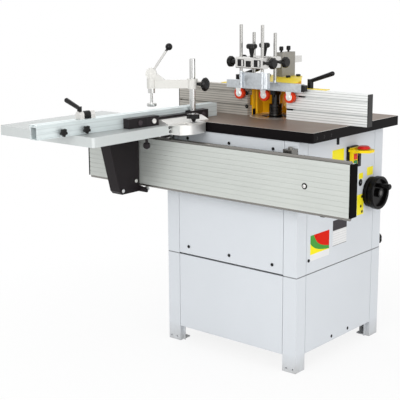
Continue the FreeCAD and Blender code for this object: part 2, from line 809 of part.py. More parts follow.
def corner_posts():
    """Four legs, four upper posts and the fixed half of the door hinges."""
    upper = post_tier(SEAM_Z, TABLE_BOTTOM)
    latch_hole = rod("y", LATCH_HOLE_RADIUS, HALF_DEPTH - SHEET - OVERRUN, HALF_DEPTH + OVERRUN, LATCH_X,
                     LATCH_Z)
    pieces = [leg(), mirrored(leg(), X_AXIS), front_leg(), mirrored(front_leg(), X_AXIS)]
    pieces.append(upper.cut(latch_hole))
    pieces.append(mirrored(upper, X_AXIS))
    pieces.append(mirrored(upper, Y_AXIS))
    pieces.append(mirrored(mirrored(upper, X_AXIS), Y_AXIS))
    for level in HINGE_LEVELS:
        pieces += fixed_knuckles(level)
    return pieces


def front_tray(z0, z1):
    """Folded panel across the front, seated on the post lips."""
    outer = block(-PANEL_X, PANEL_X, -HALF_DEPTH, PANEL_DEPTH - HALF_DEPTH, z0, z1)
    inner = block(
        SHEET - PANEL_X, PANEL_X - SHEET,
        SHEET - HALF_DEPTH, PANEL_DEPTH - HALF_DEPTH + OVERRUN,
        z0 + SHEET, z1 - SHEET,
    )
    return outer.cut(inner)


def right_tray(z0, z1):
    """Folded panel across the right side, seated on the post lips."""
    outer = block(HALF_WIDTH - PANEL_DEPTH, HALF_WIDTH, -PANEL_Y, PANEL_Y, z0, z1)
    inner = block(
        HALF_WIDTH - PANEL_DEPTH - OVERRUN, HALF_WIDTH - SHEET,
        SHEET - PANEL_Y, PANEL_Y - SHEET,
        z0 + SHEET, z1 - SHEET,
    )
    return outer.cut(inner)


def side_panels():
    """Four stand panels and the two upper side panels, the right one bored for the wheel shaft."""
    low_front = front_tray(PANEL_BOTTOM, SEAM_Z - PANEL_GAP)
    low_right = right_tray(PANEL_BOTTOM, SEAM_Z - PANEL_GAP)
    high_right = right_tray(SEAM_Z, CABINET_TOP)
    bore_radius = WHEEL_SHAFT_RADIUS + SHEET
    bore = rod("x", bore_radius, HALF_WIDTH - PANEL_DEPTH - OVERRUN, HALF_WIDTH + OVERRUN, WHEEL_Y, WHEEL_Z)
    return [
        low_front,
        mirrored(low_front, Y_AXIS),
        low_right,
        mirrored(low_right, X_AXIS),
        high_right.cut(bore),
        mirrored(high_right, X_AXIS),
    ]


def front_cover():
    """Upper front panel."""
    return [front_tray(SEAM_Z + COVER_GAP, CABINET_TOP)]


def panel_screws():
    """Screw heads on the front cover and the side panels, and the stud under the table edge."""
    heads = []
    spread = (-COVER_SCREW_SPACING, 0, COVER_SCREW_SPACING)
    for z in (SEAM_Z + COVER_SCREW_INSET, CABINET_TOP - COVER_SCREW_INSET):
        for x in spread:
            heads.append(disc(SCREW_HEAD_RADIUS, SCREW_HEAD_HEIGHT, SCREW_EDGE, V(x, -HALF_DEPTH, z),
                              -Y_AXIS))
    side_y = SIDE_SCREW_INSET - PANEL_Y
    right = disc(SCREW_HEAD_RADIUS, SCREW_HEAD_HEIGHT, SCREW_EDGE, V(HALF_WIDTH, side_y, SIDE_SCREW_Z),
                 X_AXIS)
    stud_place = V(TABLE_WIDTH / 2 - TABLE_STUD_INSET, TABLE_STUD_Y, TABLE_BOTTOM)
    stud = disc(TABLE_STUD_RADIUS, TABLE_STUD_LENGTH, SCREW_EDGE, stud_place, -Z_AXIS)
    return heads + [right, mirrored(right, X_AXIS), stud]


def rear_door():
    """Flat door over the rear opening, with an inner tray and its hinge knuckles."""
    tray_x = DOOR_EDGE_X - DOOR_TRAY_INSET
    tray_z0 = DOOR_BOTTOM + DOOR_TRAY_MARGIN
    tray_z1 = DOOR_TOP - DOOR_TRAY_MARGIN
    tray_y = HALF_DEPTH - PANEL_DEPTH
    tray = block(-tray_x, tray_x, tray_y, DOOR_OUT, tray_z0, tray_z1)
    hollow = block(SHEET - tray_x, tray_x - SHEET, tray_y - OVERRUN, DOOR_FACE, tray_z0 + SHEET,
                   tray_z1 - SHEET)
    pieces = [block(DOOR_LEFT, DOOR_EDGE_X, DOOR_FACE, DOOR_OUT, DOOR_BOTTOM, DOOR_TOP), tray.cut(hollow)]
    bores = [rod("y", LATCH_STUD_RADIUS + RUN_FIT, DOOR_FACE - OVERRUN, DOOR_OUT + OVERRUN, LATCH_X,
                 LATCH_Z)]
    for level in HINGE_LEVELS:
        z0 = level - KNUCKLE_LENGTH / 2
        z1 = level + KNUCKLE_LENGTH / 2
        pieces.append(block(HINGE_X, HINGE_X + HINGE_LEAF, DOOR_FACE, HINGE_Y, z0, z1))
        pieces.append(rod("z", KNUCKLE_RADIUS, z0, z1, HINGE_X, HINGE_Y))
        bores.append(rod("z", HINGE_PIN_RADIUS + RUN_FIT, z0 - OVERRUN, z1 + OVERRUN, HINGE_X, HINGE_Y))
    return [cut_all(fused(pieces), bores)]


def door_latch():
    """Round knob with a stud that reaches through the door into the post."""
    base = V(LATCH_X, DOOR_OUT + FREE_GAP, LATCH_Z)
    knob = round_knob(base, Y_AXIS, LATCH_RADIUS, LATCH_THICKNESS, LATCH_NECK_RADIUS, LATCH_NECK)
    stud = rod("y", LATCH_STUD_RADIUS, HALF_DEPTH - LATCH_STUD_REACH, DOOR_OUT + LATCH_NECK, LATCH_X,
               LATCH_Z)
    return [fused([knob, stud])]


# Table

def table():
    """Cast table with pockets underneath, the spindle hole and the insert's recess."""
    half_w = TABLE_WIDTH / 2
    half_d = TABLE_DEPTH / 2
    shape = block(-half_w, half_w, -half_d, half_d, TABLE_BOTTOM, TABLE_TOP)
    least = TABLE_THICKNESS / 2
    uprights = [edge for edge in shape.Edges if abs(edge.Vertexes[0].Z - edge.Vertexes[-1].Z) > least]
    shape = shape.makeFillet(TABLE_CORNER, uprights)
    low = TABLE_BOTTOM - OVERRUN
    high = TABLE_TOP - TABLE_PLATE
    inner = TABLE_PAD_HALF_WIDTH + TABLE_RIM
    side = block(inner, half_w - TABLE_RIM, -TABLE_SIDE_POCKET_HALF, TABLE_SIDE_POCKET_HALF, low, high)
    front = block(-TABLE_PAD_HALF_WIDTH, TABLE_PAD_HALF_WIDTH, TABLE_RIM - half_d, TABLE_PAD_FRONT, low,
                  high)
    hole = rod("z", TABLE_HOLE_RADIUS, low, TABLE_TOP + OVERRUN, 0, 0)
    recess = rod("z", INSERT_RADIUS + SLIP, TABLE_TOP - INSERT_DEPTH, TABLE_TOP + OVERRUN, 0, 0)
    return [cut_all(shape, [side, mirrored(side, X_AXIS), front, hole, recess])]


def table_insert():
    """Ring that fills the table's recess round the spindle."""
    return [tube("z", INSERT_RADIUS, INSERT_BORE_RADIUS, TABLE_TOP - INSERT_DEPTH, TABLE_TOP, 0, 0)]


# Spindle and drive

def quill_carriage():
    """Bearing tube, sleeves on the guide posts, screw nut and the plate that carries the motor."""
    web = block(CHEEK_FAR, CHEEK_NEAR, -CHEEK_INNER - CHEEK_THICKNESS, CHEEK_INNER + CHEEK_THICKNESS,
                CHEEK_WEB_BOTTOM, CHEEK_WEB_TOP)
    pieces = [rod("z", QUILL_RADIUS, QUILL_BOTTOM, QUILL_TOP, 0, 0), web]
    for y0 in (CHEEK_INNER, -CHEEK_INNER - CHEEK_THICKNESS):
        pieces.append(block(CHEEK_FAR, CHEEK_NEAR, y0, y0 + CHEEK_THICKNESS, MOTOR_TOP, CHEEK_WEB_TOP))
    plate_left = MOTOR_X - MOTOR_PLATE_EDGE
    pieces.append(block(plate_left, MOTOR_PLATE_END, -MOTOR_PLATE_EDGE, MOTOR_PLATE_EDGE, MOTOR_TOP,
                        MOTOR_PLATE_TOP))
    pieces.append(block(-GUIDE_X, GUIDE_X, SLEEVE_WEB_FRONT, GUIDE_Y, SLEEVE_WEB_BOTTOM, SLEEVE_WEB_TOP))
    bores = [rod("z", MOTOR_PLATE_HOLE, MOTOR_TOP - OVERRUN, MOTOR_PLATE_TOP + OVERRUN, MOTOR_X, 0)]
    for x in (-GUIDE_X, GUIDE_X):
        pieces.append(rod("z", SLEEVE_RADIUS, SLEEVE_BOTTOM, SLEEVE_TOP, x, GUIDE_Y))
        bores.append(rod("z", GUIDE_RADIUS + RUN_FIT, SLEEVE_BOTTOM - OVERRUN, SLEEVE_TOP + OVERRUN, x,
                         GUIDE_Y))
    ear = [
        (GUIDE_X - SCREW_EAR_HALF, GUIDE_Y),
        (GUIDE_X + SCREW_EAR_HALF, GUIDE_Y),
        (SCREW_X + SCREW_EAR_HALF, WHEEL_Y),
        (SCREW_X - SCREW_EAR_HALF, WHEEL_Y),
    ]
    pieces.append(prism("z", ear, SLEEVE_WEB_BOTTOM, SCREW_NUT_TOP))
    pieces.append(rod("z", SCREW_NUT_RADIUS, SCREW_NUT_BOTTOM, SCREW_NUT_TOP, SCREW_X, WHEEL_Y))
    bores.append(rod("z", SCREW_RADIUS + RUN_FIT, SCREW_NUT_BOTTOM - OVERRUN, SCREW_NUT_TOP + OVERRUN,
                     SCREW_X, WHEEL_Y))
    bores.append(rod("z", QUILL_BORE_RADIUS, QUILL_BOTTOM - OVERRUN, QUILL_TOP + OVERRUN, 0, 0))
    for z0 in bearing_levels():
        bores.append(rod("z", BEARING_RADIUS + SEAT_FIT, z0, z0 + BEARING_HEIGHT, 0, 0))
    bores.append(rod("z", BEARING_RADIUS + SEAT_FIT, QUILL_BOTTOM - OVERRUN,
                     QUILL_BOTTOM + BEARING_SHOULDER, 0, 0))
    bores.append(rod("z", BEARING_RADIUS + SEAT_FIT, QUILL_TOP - BEARING_SHOULDER, QUILL_TOP + OVERRUN, 0,
                     0))
    return [cut_all(fused(pieces), bores)]


def bearing_levels():
    """Undersides of the lower and the upper bearing."""
    return (QUILL_BOTTOM + BEARING_SHOULDER, QUILL_TOP - BEARING_SHOULDER - BEARING_HEIGHT)


def spindle_bearings():
    """Two ball bearings, each as one ring."""
    rings = []
    for z0 in bearing_levels():
        rings.append(tube("z", BEARING_RADIUS, ARBOR_RADIUS + RUN_FIT, z0, z0 + BEARING_HEIGHT, 0, 0))
    return rings


def pulley(radius, bore, x):
    """Flat belt pulley with a small rim at each end."""
    belt_low = PULLEY_BOTTOM + (PULLEY_HEIGHT - BELT_WIDTH) / 2 - PULLEY_EDGE
    belt_high = PULLEY_TOP + PULLEY_BOTTOM - belt_low
    rim = radius + BELT_THICKNESS / 2
    profile = [
        (bore, PULLEY_BOTTOM),
        (rim, PULLEY_BOTTOM),
        (rim, belt_low),
        (radius, belt_low),
        (radius, belt_high),
        (rim, belt_high),
        (rim, PULLEY_TOP),
        (bore, PULLEY_TOP),
    ]
    return lathe(profile, V(x, 0, 0), Z_AXIS)


def spindle_shaft():
    """Arbor with its collar, and the spindle pulley on its tail."""
    profile = [
        (0, SPINDLE_TAIL),
        (ARBOR_RADIUS - ARBOR_CHAMFER, SPINDLE_TAIL),
        (ARBOR_RADIUS, SPINDLE_TAIL + ARBOR_CHAMFER),
        (ARBOR_RADIUS, RING_BOTTOM - COLLAR_HEIGHT),
        (COLLAR_RADIUS, RING_BOTTOM - COLLAR_HEIGHT),
        (COLLAR_RADIUS, RING_BOTTOM - COLLAR_EDGE),
        (COLLAR_RADIUS - COLLAR_EDGE, RING_BOTTOM),
        (ARBOR_RADIUS, RING_BOTTOM),
        (ARBOR_RADIUS, ARBOR_TOP - ARBOR_CHAMFER),
        (ARBOR_RADIUS - ARBOR_CHAMFER, ARBOR_TOP),
        (0, ARBOR_TOP),
    ]
    return [lathe(profile), pulley(SPINDLE_PULLEY_RADIUS, ARBOR_RADIUS + SEAT_FIT, 0)]


def spindle_rings():
    """Stack of spacer rings on the arbor and the nut near its top."""
    bore = ARBOR_RADIUS + SEAT_FIT
    rings = []
    for index in range(RING_COUNT):
        low = RING_BOTTOM + index * RING_HEIGHT
        high = low + RING_HEIGHT
        profile = [
            (bore, low),
            (RING_RADIUS - RING_EDGE, low),
            (RING_RADIUS, low + RING_EDGE),
            (RING_RADIUS, high - RING_EDGE),
            (RING_RADIUS - RING_EDGE, high),
            (bore, high),
        ]
        rings.append(lathe(profile))
    nut_top = NUT_BOTTOM + NUT_HEIGHT
    nut = hexagon(NUT_RADIUS, V(0, 0, NUT_BOTTOM), NUT_HEIGHT)
    return rings + [nut.cut(rod("z", bore, NUT_BOTTOM - OVERRUN, nut_top + OVERRUN, 0, 0))]


def belt_loop(swell, z0, z1):
    """Solid filling the belt's path, swollen outward from both pulleys."""
    near = SPINDLE_PULLEY_RADIUS + swell
    far = MOTOR_PULLEY_RADIUS + swell
    tilt = math.asin((far - near) / MOTOR_X)
    across = math.cos(tilt)
    along = math.sin(tilt)
    sides = [
        (near * along, near * across),
        (MOTOR_X + far * along, far * across),
        (MOTOR_X + far * along, -far * across),
        (near * along, -near * across),
    ]
    return fused([
        rod("z", near, z0, z1, 0, 0),
        rod("z", far, z0, z1, MOTOR_X, 0),
        prism("z", sides, z0, z1),
    ])


def drive_belt():
    """Flat belt round both pulleys."""
    z0 = PULLEY_BOTTOM + (PULLEY_HEIGHT - BELT_WIDTH) / 2
    z1 = z0 + BELT_WIDTH
    outer = belt_loop(BELT_GAP + BELT_THICKNESS, z0, z1)
    return [outer.cut(belt_loop(BELT_GAP, z0 - OVERRUN, z1 + OVERRUN))]


def motor():
    """Ribbed motor hanging from its plate, with a fan cap and a terminal box."""
    bottom = MOTOR_TOP - MOTOR_LENGTH
    cap_radius = MOTOR_RADIUS - MOTOR_CAP_STEP
    core = MOTOR_RADIUS - MOTOR_RIB_HEIGHT
    pieces = [
        rod("z", core, bottom + MOTOR_CAP, MOTOR_TOP, MOTOR_X, 0),
        rod("z", MOTOR_RADIUS, MOTOR_TOP - MOTOR_RIB_MARGIN, MOTOR_TOP, MOTOR_X, 0),
        rod("z", cap_radius, bottom, bottom + MOTOR_CAP, MOTOR_X, 0),
    ]
    rib = block(0, MOTOR_RADIUS, -MOTOR_RIB_WIDTH / 2, MOTOR_RIB_WIDTH / 2, bottom + MOTOR_CAP, MOTOR_TOP)
    for index in range(MOTOR_RIB_COUNT):
        turned = rib.copy()
        turned.rotate(V(0, 0, 0), Z_AXIS, index * FULL_TURN / MOTOR_RIB_COUNT)
        turned.translate(V(MOTOR_X, 0, 0))
        pieces.append(turned)
    box_top = MOTOR_TOP - MOTOR_RIB_MARGIN
    box_half = MOTOR_BOX_WIDTH / 2
    pieces.append(block(MOTOR_X - box_half, MOTOR_X + box_half, -MOTOR_RADIUS - MOTOR_BOX_DEPTH, 0,
                        box_top - MOTOR_BOX_HEIGHT, box_top))
    bore = rod("z", MOTOR_SHAFT_RADIUS + RUN_FIT, MOTOR_TOP - MOTOR_SHAFT_DEPTH, MOTOR_TOP + OVERRUN,
               MOTOR_X, 0)
    return [fused(pieces).cut(bore)]


def motor_pulley():
    """Motor shaft and its pulley."""
    shaft = rod("z", MOTOR_SHAFT_RADIUS, MOTOR_TOP - MOTOR_SHAFT_DEPTH + FREE_GAP, PULLEY_TOP, MOTOR_X, 0)
    return [shaft, pulley(MOTOR_PULLEY_RADIUS, MOTOR_SHAFT_RADIUS + SEAT_FIT, MOTOR_X)]


# Lift and hand wheel

def lift_guides():
    """Two guide posts under the table and the yoke that carries the screw and the wheel shaft."""
    yoke_top = YOKE_BOTTOM + YOKE_THICKNESS
    yoke = block(-GUIDE_X - YOKE_MARGIN, SCREW_X + YOKE_MARGIN, GUIDE_Y - SLEEVE_RADIUS,
                 WHEEL_Y + YOKE_MARGIN,
                 YOKE_BOTTOM, yoke_top)
    half = WHEEL_BEARING_HALF
    arm_end = WHEEL_BEARING_X + WHEEL_BEARING_THICKNESS
    shelf = block(SCREW_X, arm_end, WHEEL_Y - half, WHEEL_Y + half, YOKE_BOTTOM, yoke_top)
    hanger = block(WHEEL_BEARING_X, arm_end, WHEEL_Y - half, WHEEL_Y + half, WHEEL_Z - half, yoke_top)
    yoke = fused([yoke, shelf, hanger])
    bores = [
        rod("z", SCREW_JOURNAL_RADIUS + RUN_FIT, YOKE_BOTTOM - OVERRUN, yoke_top + OVERRUN, SCREW_X,
            WHEEL_Y),
        rod("x", WHEEL_SHAFT_RADIUS + RUN_FIT, WHEEL_BEARING_X - OVERRUN, arm_end + OVERRUN, WHEEL_Y,
            WHEEL_Z),
    ]
    posts = []
    for x in (-GUIDE_X, GUIDE_X):
        bores.append(rod("z", GUIDE_RADIUS + SEAT_FIT, YOKE_BOTTOM - OVERRUN, yoke_top + OVERRUN, x,
                         GUIDE_Y))
        posts.append(rod("z", GUIDE_RADIUS, YOKE_BOTTOM, TABLE_BOTTOM, x, GUIDE_Y))
    return posts + [cut_all(yoke, bores)]


def bevel_gear(bore):
    """Mitre bevel gear about Z whose pitch cone has its apex at the origin."""
    profile = [
        (bore, GEAR_NEAR),
        (GEAR_NEAR - GEAR_BACKLASH, GEAR_NEAR),
        (GEAR_FAR - GEAR_BACKLASH, GEAR_FAR),
        (GEAR_HUB_RADIUS, GEAR_FAR),
        (GEAR_HUB_RADIUS, GEAR_FAR + GEAR_HUB_HEIGHT),
        (bore, GEAR_FAR + GEAR_HUB_HEIGHT),
    ]
    gear = lathe(profile)
    half = GEAR_SLOT_WIDTH / 2
    slant = GEAR_SLOT_DEPTH * math.sqrt(2)
    floor = [
        (GEAR_NEAR - OVERRUN - slant, GEAR_NEAR - OVERRUN),
        (GEAR_FAR, GEAR_NEAR - OVERRUN),
        (GEAR_FAR + OVERRUN, GEAR_FAR + OVERRUN),
        (GEAR_FAR + OVERRUN - slant, GEAR_FAR + OVERRUN),
    ]
    slot = prism("y", floor, -half, half)
    for index in range(GEAR_TEETH):
        turned = slot.copy()
        turned.rotate(V(0, 0, 0), Z_AXIS, index * FULL_TURN / GEAR_TEETH)
        gear = gear.cut(turned)
    return gear


def lift_screw():
    """Lift screw standing on the yoke, with its bevel gear below."""
    yoke_top = YOKE_BOTTOM + YOKE_THICKNESS
    profile = [
        (0, WHEEL_Z + GEAR_NEAR),
        (SCREW_JOURNAL_RADIUS, WHEEL_Z + GEAR_NEAR),
        (SCREW_JOURNAL_RADIUS, yoke_top),
        (SCREW_RADIUS, yoke_top),
        (SCREW_RADIUS, TABLE_BOTTOM - FREE_GAP),
        (0, TABLE_BOTTOM - FREE_GAP),
    ]
    gear = bevel_gear(SCREW_JOURNAL_RADIUS + SEAT_FIT)
    return [lathe(profile, V(SCREW_X, WHEEL_Y, 0)), aim(gear, V(SCREW_X, WHEEL_Y, WHEEL_Z), Z_AXIS)]


def handwheel_shaft():
    """Shaft from the bevel pinion out through the right panel."""
    end = HALF_WIDTH + WHEEL_BACK + WHEEL_WIDTH
    shaft = rod("x", WHEEL_SHAFT_RADIUS, SCREW_X + GEAR_NEAR, end, WHEEL_Y, WHEEL_Z)
    pinion = bevel_gear(WHEEL_SHAFT_RADIUS + SEAT_FIT)
    return [shaft, aim(pinion, V(SCREW_X, WHEEL_Y, WHEEL_Z), X_AXIS)]


def handwheel_flange():
    """Fixed flange on the right panel that carries the wheel shaft."""
    bore = WHEEL_SHAFT_RADIUS + RUN_FIT
    profile = [
        (bore, 0),
        (FLANGE_RADIUS, 0),
        (FLANGE_RADIUS, FLANGE_THICKNESS - FLANGE_STEP),
        (FLANGE_RADIUS - FLANGE_STEP, FLANGE_THICKNESS),
        (bore, FLANGE_THICKNESS),
    ]
    return [lathe(profile, V(HALF_WIDTH, WHEEL_Y, WHEEL_Z), X_AXIS)]


def crank_place():
    """Centre of the crank pin on the wheel, as Y and Z."""
    angle = math.radians(CRANK_ANGLE)
    return WHEEL_Y + CRANK_RADIUS * math.cos(angle), WHEEL_Z + CRANK_RADIUS * math.sin(angle)


def handwheel():
    """Dished hand wheel with the crank pin."""
    bore = WHEEL_SHAFT_RADIUS + SEAT_FIT
    web_low = WHEEL_EDGE
    web_high = WHEEL_EDGE + WHEEL_WEB
    inner = WHEEL_RADIUS - WHEEL_RIM
    profile = [
        (bore, 0),
        (WHEEL_HUB_RADIUS, 0),
        (WHEEL_HUB_RADIUS, web_low),
        (inner, web_low),
        (inner, 0),
        (WHEEL_RADIUS - WHEEL_EDGE, 0),
        (WHEEL_RADIUS, WHEEL_EDGE),
        (WHEEL_RADIUS, WHEEL_WIDTH - WHEEL_EDGE),
        (WHEEL_RADIUS - WHEEL_EDGE, WHEEL_WIDTH),
        (inner + WHEEL_EDGE, WHEEL_WIDTH),
        (inner, WHEEL_WIDTH - WHEEL_EDGE),
        (inner, web_high),
        (WHEEL_HUB_RADIUS, web_high),
        (WHEEL_HUB_RADIUS, WHEEL_WIDTH),
        (bore, WHEEL_WIDTH),
    ]
    back = HALF_WIDTH + WHEEL_BACK
    wheel = lathe(profile, V(back, WHEEL_Y, WHEEL_Z), X_AXIS)
    y, z = crank_place()
    root = back + web_low
    pin = rod("x", CRANK_PIN_RADIUS, root, back + web_high + CRANK_LENGTH, y, z)
    return [fused([wheel, pin])]


def crank_grip():
    """Tapered grip that turns on the crank pin."""
    bore = CRANK_PIN_RADIUS + RUN_FIT
    end = CRANK_LENGTH
    profile = [
        (bore, FREE_GAP),
        (CRANK_NEAR_RADIUS, FREE_GAP),
        (CRANK_FAR_RADIUS, end - CRANK_EDGE),
        (CRANK_FAR_RADIUS - CRANK_EDGE, end),
        (bore, end),
    ]
    y, z = crank_place()
    return [lathe(profile, V(HALF_WIDTH + WHEEL_BACK + WHEEL_EDGE + WHEEL_WEB, y, z), X_AXIS)]


# Switch

def button_block(z, swell, back, front):
    """Square button shape at one height, swollen on every side."""
    half = BUTTON_SIZE / 2 + swell
    return block(back, front, BUTTON_Y - half, BUTTON_Y + half, z - half, z + half)


def switch_box():
    """Base, housing with button wells and flap lugs, and the lock tab."""
    seam = HALF_WIDTH + SWITCH_BASE
    y0 = SWITCH_Y - SWITCH_HALF_WIDTH
    y1 = SWITCH_Y + SWITCH_HALF_WIDTH
    base = block(HALF_WIDTH, seam, y0, y1, SWITCH_BOTTOM, SWITCH_TOP)
    along_x = [edge for edge in base.Edges if abs(edge.Vertexes[0].X - edge.Vertexes[-1].X) > SWITCH_BASE / 2]
    base = base.makeFillet(SWITCH_CORNER, along_x)
    housing = block(seam, SWITCH_FACE, y0 + SWITCH_INSET, y1 - SWITCH_INSET,
                    SWITCH_BOTTOM + SWITCH_INSET, SWITCH_TOP - SWITCH_INSET)
    lugs = []
    lug_near = FLAP_BARREL_HALF + FREE_GAP
    for start in (SWITCH_Y + lug_near, SWITCH_Y - lug_near - LUG_THICKNESS):
        lugs.append(block(seam, FLAP_HINGE_X + FLAP_BARREL_RADIUS, start, start + LUG_THICKNESS,
                          FLAP_HINGE_Z - LUG_HALF_HEIGHT, FLAP_HINGE_Z + LUG_HALF_HEIGHT))
    pin = rod("y", FLAP_PIN_RADIUS, SWITCH_Y - lug_near - LUG_THICKNESS,
              SWITCH_Y + lug_near + LUG_THICKNESS,
              FLAP_HINGE_X, FLAP_HINGE_Z)
    housing = fused([housing, pin] + lugs)
    back = SWITCH_FACE - BUTTON_DEPTH - BUTTON_TRAVEL - FREE_GAP
    for z in (STOP_Z, START_Z):
        well = button_block(z, SLOT_FIT, back, SWITCH_FACE + OVERRUN)
        housing = housing.cut(well)
    tab = block(
        SWITCH_FACE, SWITCH_FACE + LOCK_TAB_RISE,
        LOCK_TAB_Y - LOCK_TAB_WIDTH / 2, LOCK_TAB_Y + LOCK_TAB_WIDTH / 2,
        LOCK_TAB_Z - LOCK_TAB_HEIGHT / 2, LOCK_TAB_Z + LOCK_TAB_HEIGHT / 2,
    )
    return [base, housing, tab]


def push_button(z):
    """Square push button with softened front edges."""
    front = SWITCH_FACE + BUTTON_RISE
    shape = button_block(z, 0, SWITCH_FACE - BUTTON_DEPTH, front)
    rims = [edge for edge in shape.Edges if min(v.X for v in edge.Vertexes) > front - BUTTON_EDGE]
    return [shape.makeFillet(BUTTON_EDGE, rims)]


def start_button():
    """Start button."""
    return push_button(START_Z)


def stop_button():
    """Stop button."""
    return push_button(STOP_Z)


def stop_flap():
    """Flap with a cheek on each side of the housing, raised on its hinge, with the mushroom on it."""
    low = FLAP_HINGE_Z - FLAP_UNDERSIDE
    high = low + FLAP_THICKNESS
    half = FLAP_BARREL_HALF
    inner = SWITCH_HALF_WIDTH + FREE_GAP
    wide = inner + FLAP_CHEEK
    root = FLAP_HINGE_X + FLAP_ROOT
    shoulder = FLAP_HINGE_X + FLAP_SHOULDER
    nose = FLAP_HINGE_X + FLAP_REACH
    plate = prism("z", [
        (root, SWITCH_Y - wide),
        (shoulder, SWITCH_Y - wide),
        (nose, SWITCH_Y - FLAP_NOSE_HALF),
        (nose, SWITCH_Y + FLAP_NOSE_HALF),
        (shoulder, SWITCH_Y + wide),
        (root, SWITCH_Y + wide),
    ], low, high)
    upright = [edge for edge in plate.Edges if len({round(v.Z) for v in edge.Vertexes}) > 1
               and edge.Vertexes[0].X > root + FLAP_CHEEK]
    plate = plate.makeFillet(FLAP_CORNER, upright)
    cheeks = [block(FLAP_HINGE_X - FLAP_CHEEK_REACH, root, y, y + FLAP_CHEEK, low, high)
              for y in (SWITCH_Y - wide, SWITCH_Y + inner)]
    neck = block(FLAP_HINGE_X, root, SWITCH_Y - half, SWITCH_Y + half, low, high)
    barrel = rod("y", FLAP_BARREL_RADIUS, SWITCH_Y - half, SWITCH_Y + half, FLAP_HINGE_X, FLAP_HINGE_Z)
    bore = rod("y", FLAP_PIN_RADIUS + RUN_FIT, SWITCH_Y - half - OVERRUN, SWITCH_Y + half + OVERRUN,
               FLAP_HINGE_X, FLAP_HINGE_Z)
    flap = fused([plate, neck, barrel] + cheeks).cut(bore)
    profile = [
        (0, high),
        (MUSHROOM_NECK_RADIUS, high),
        (MUSHROOM_NECK_RADIUS, high + MUSHROOM_NECK),
        (MUSHROOM_RADIUS, high + MUSHROOM_NECK),
        (MUSHROOM_RADIUS, high + MUSHROOM_HEIGHT - MUSHROOM_EDGE),
        (MUSHROOM_RADIUS - MUSHROOM_EDGE, high + MUSHROOM_HEIGHT),
        (0, high + MUSHROOM_HEIGHT),
    ]
    return [flap, lathe(profile, V(FLAP_HINGE_X + MUSHROOM_OFFSET, SWITCH_Y, 0))]


# Fences and hood

def right_fence():
    """Right fence half with two T-grooves in its face, a rear slot and an end cap."""
    end = FENCE_INNER + FENCE_LENGTH
    bar = block(FENCE_INNER, end, FENCE_FRONT, FENCE_BACK, FENCE_BOTTOM, FENCE_TOP)
    for z in FENCE_GROOVE_LEVELS:
        mouth = FENCE_GROOVE_WIDTH / 2
        inner = FENCE_GROOVE_INNER / 2
        deep = FENCE_FRONT + FENCE_GROOVE_DEPTH
        bar = bar.cut(block(FENCE_INNER - OVERRUN, end + OVERRUN, FENCE_FRONT - OVERRUN, deep, z - mouth,
                            z + mouth))
        bar = bar.cut(block(FENCE_INNER - OVERRUN, end + OVERRUN, deep, deep + FENCE_GROOVE_DEPTH,
                            z - inner, z + inner))
    middle = (FENCE_BOTTOM + FENCE_TOP) / 2
    half = FENCE_BACK_SLOT_WIDTH / 2
    slot = block(FENCE_INNER - OVERRUN, end + OVERRUN, FENCE_BACK - FENCE_BACK_SLOT_DEPTH,
                 FENCE_BACK + OVERRUN,
                 middle - half, middle + half)
    cap = block(end, end + FENCE_CAP, FENCE_FRONT, FENCE_BACK, FENCE_BOTTOM, FENCE_TOP)
    return [bar.cut(slot), cap]


def left_fence():
    """Left fence half, the mirror of the right one."""
    return [mirrored(piece, X_AXIS) for piece in right_fence()]


def cover_line(y):
    """Underside of the hood cover at a given depth."""
    slope = (COVER_TOP - COVER_FRONT_TOP) / (COVER_RIDGE_Y - COVER_FRONT)
    return min(COVER_FRONT_TOP + slope * (y - COVER_FRONT), COVER_TOP) - HOOD_SHEET


def hood():
    """Open-fronted housing behind the fences that narrows to a dust port, with wings and feet."""
    side = [
        (WING_FRONT, FENCE_BOTTOM),
        (HOOD_SHOULDER, FENCE_BOTTOM),
        (HOOD_SHOULDER, cover_line(HOOD_SHOULDER)),
        (COVER_RIDGE_Y, cover_line(COVER_RIDGE_Y)),
        (WING_FRONT, cover_line(WING_FRONT)),
    ]
    wall_in = HOOD_HALF_WIDTH - HOOD_SHEET
    wing_back = WING_FRONT + HOOD_SHEET
    funnel = [
        (wall_in, HOOD_SHOULDER),
        (HOOD_HALF_WIDTH, HOOD_SHOULDER),
        (HOOD_BACK_HALF_WIDTH, HOOD_BACK),
        (HOOD_BACK_HALF_WIDTH - HOOD_SHEET, HOOD_BACK),
    ]
    right = [
        prism("x", side, wall_in, HOOD_HALF_WIDTH),
        prism("z", funnel, FENCE_BOTTOM, cover_line(HOOD_BACK)),
        block(wall_in, WING_REACH, WING_FRONT, wing_back, FENCE_BOTTOM, WING_TOP),
        block(wall_in, WING_REACH, WING_FRONT, WING_FRONT + WING_FLANGE, WING_TOP - HOOD_SHEET, WING_TOP),
        block(wall_in, HOOD_HALF_WIDTH + HOOD_FOOT_WIDTH, HOOD_FOOT_FRONT,
              HOOD_FOOT_FRONT + HOOD_FOOT_LENGTH,
              FENCE_BOTTOM, FENCE_BOTTOM + HOOD_FOOT_THICKNESS),
    ]
    back_wall = block(-HOOD_BACK_HALF_WIDTH, HOOD_BACK_HALF_WIDTH, HOOD_BACK - HOOD_SHEET, HOOD_BACK,
                      FENCE_BOTTOM, cover_line(HOOD_BACK))
    duct = rod("y", DUCT_RADIUS, HOOD_BACK - HOOD_SHEET, HOOD_BACK + DUCT_LENGTH, 0, DUCT_Z)
    left = [mirrored(piece, X_AXIS) for piece in right]
    bore = rod("y", DUCT_RADIUS - DUCT_WALL, HOOD_BACK - HOOD_SHEET - OVERRUN,
               HOOD_BACK + DUCT_LENGTH + OVERRUN, 0, DUCT_Z)
    return [fused(right + left + [back_wall, duct]).cut(bore)]


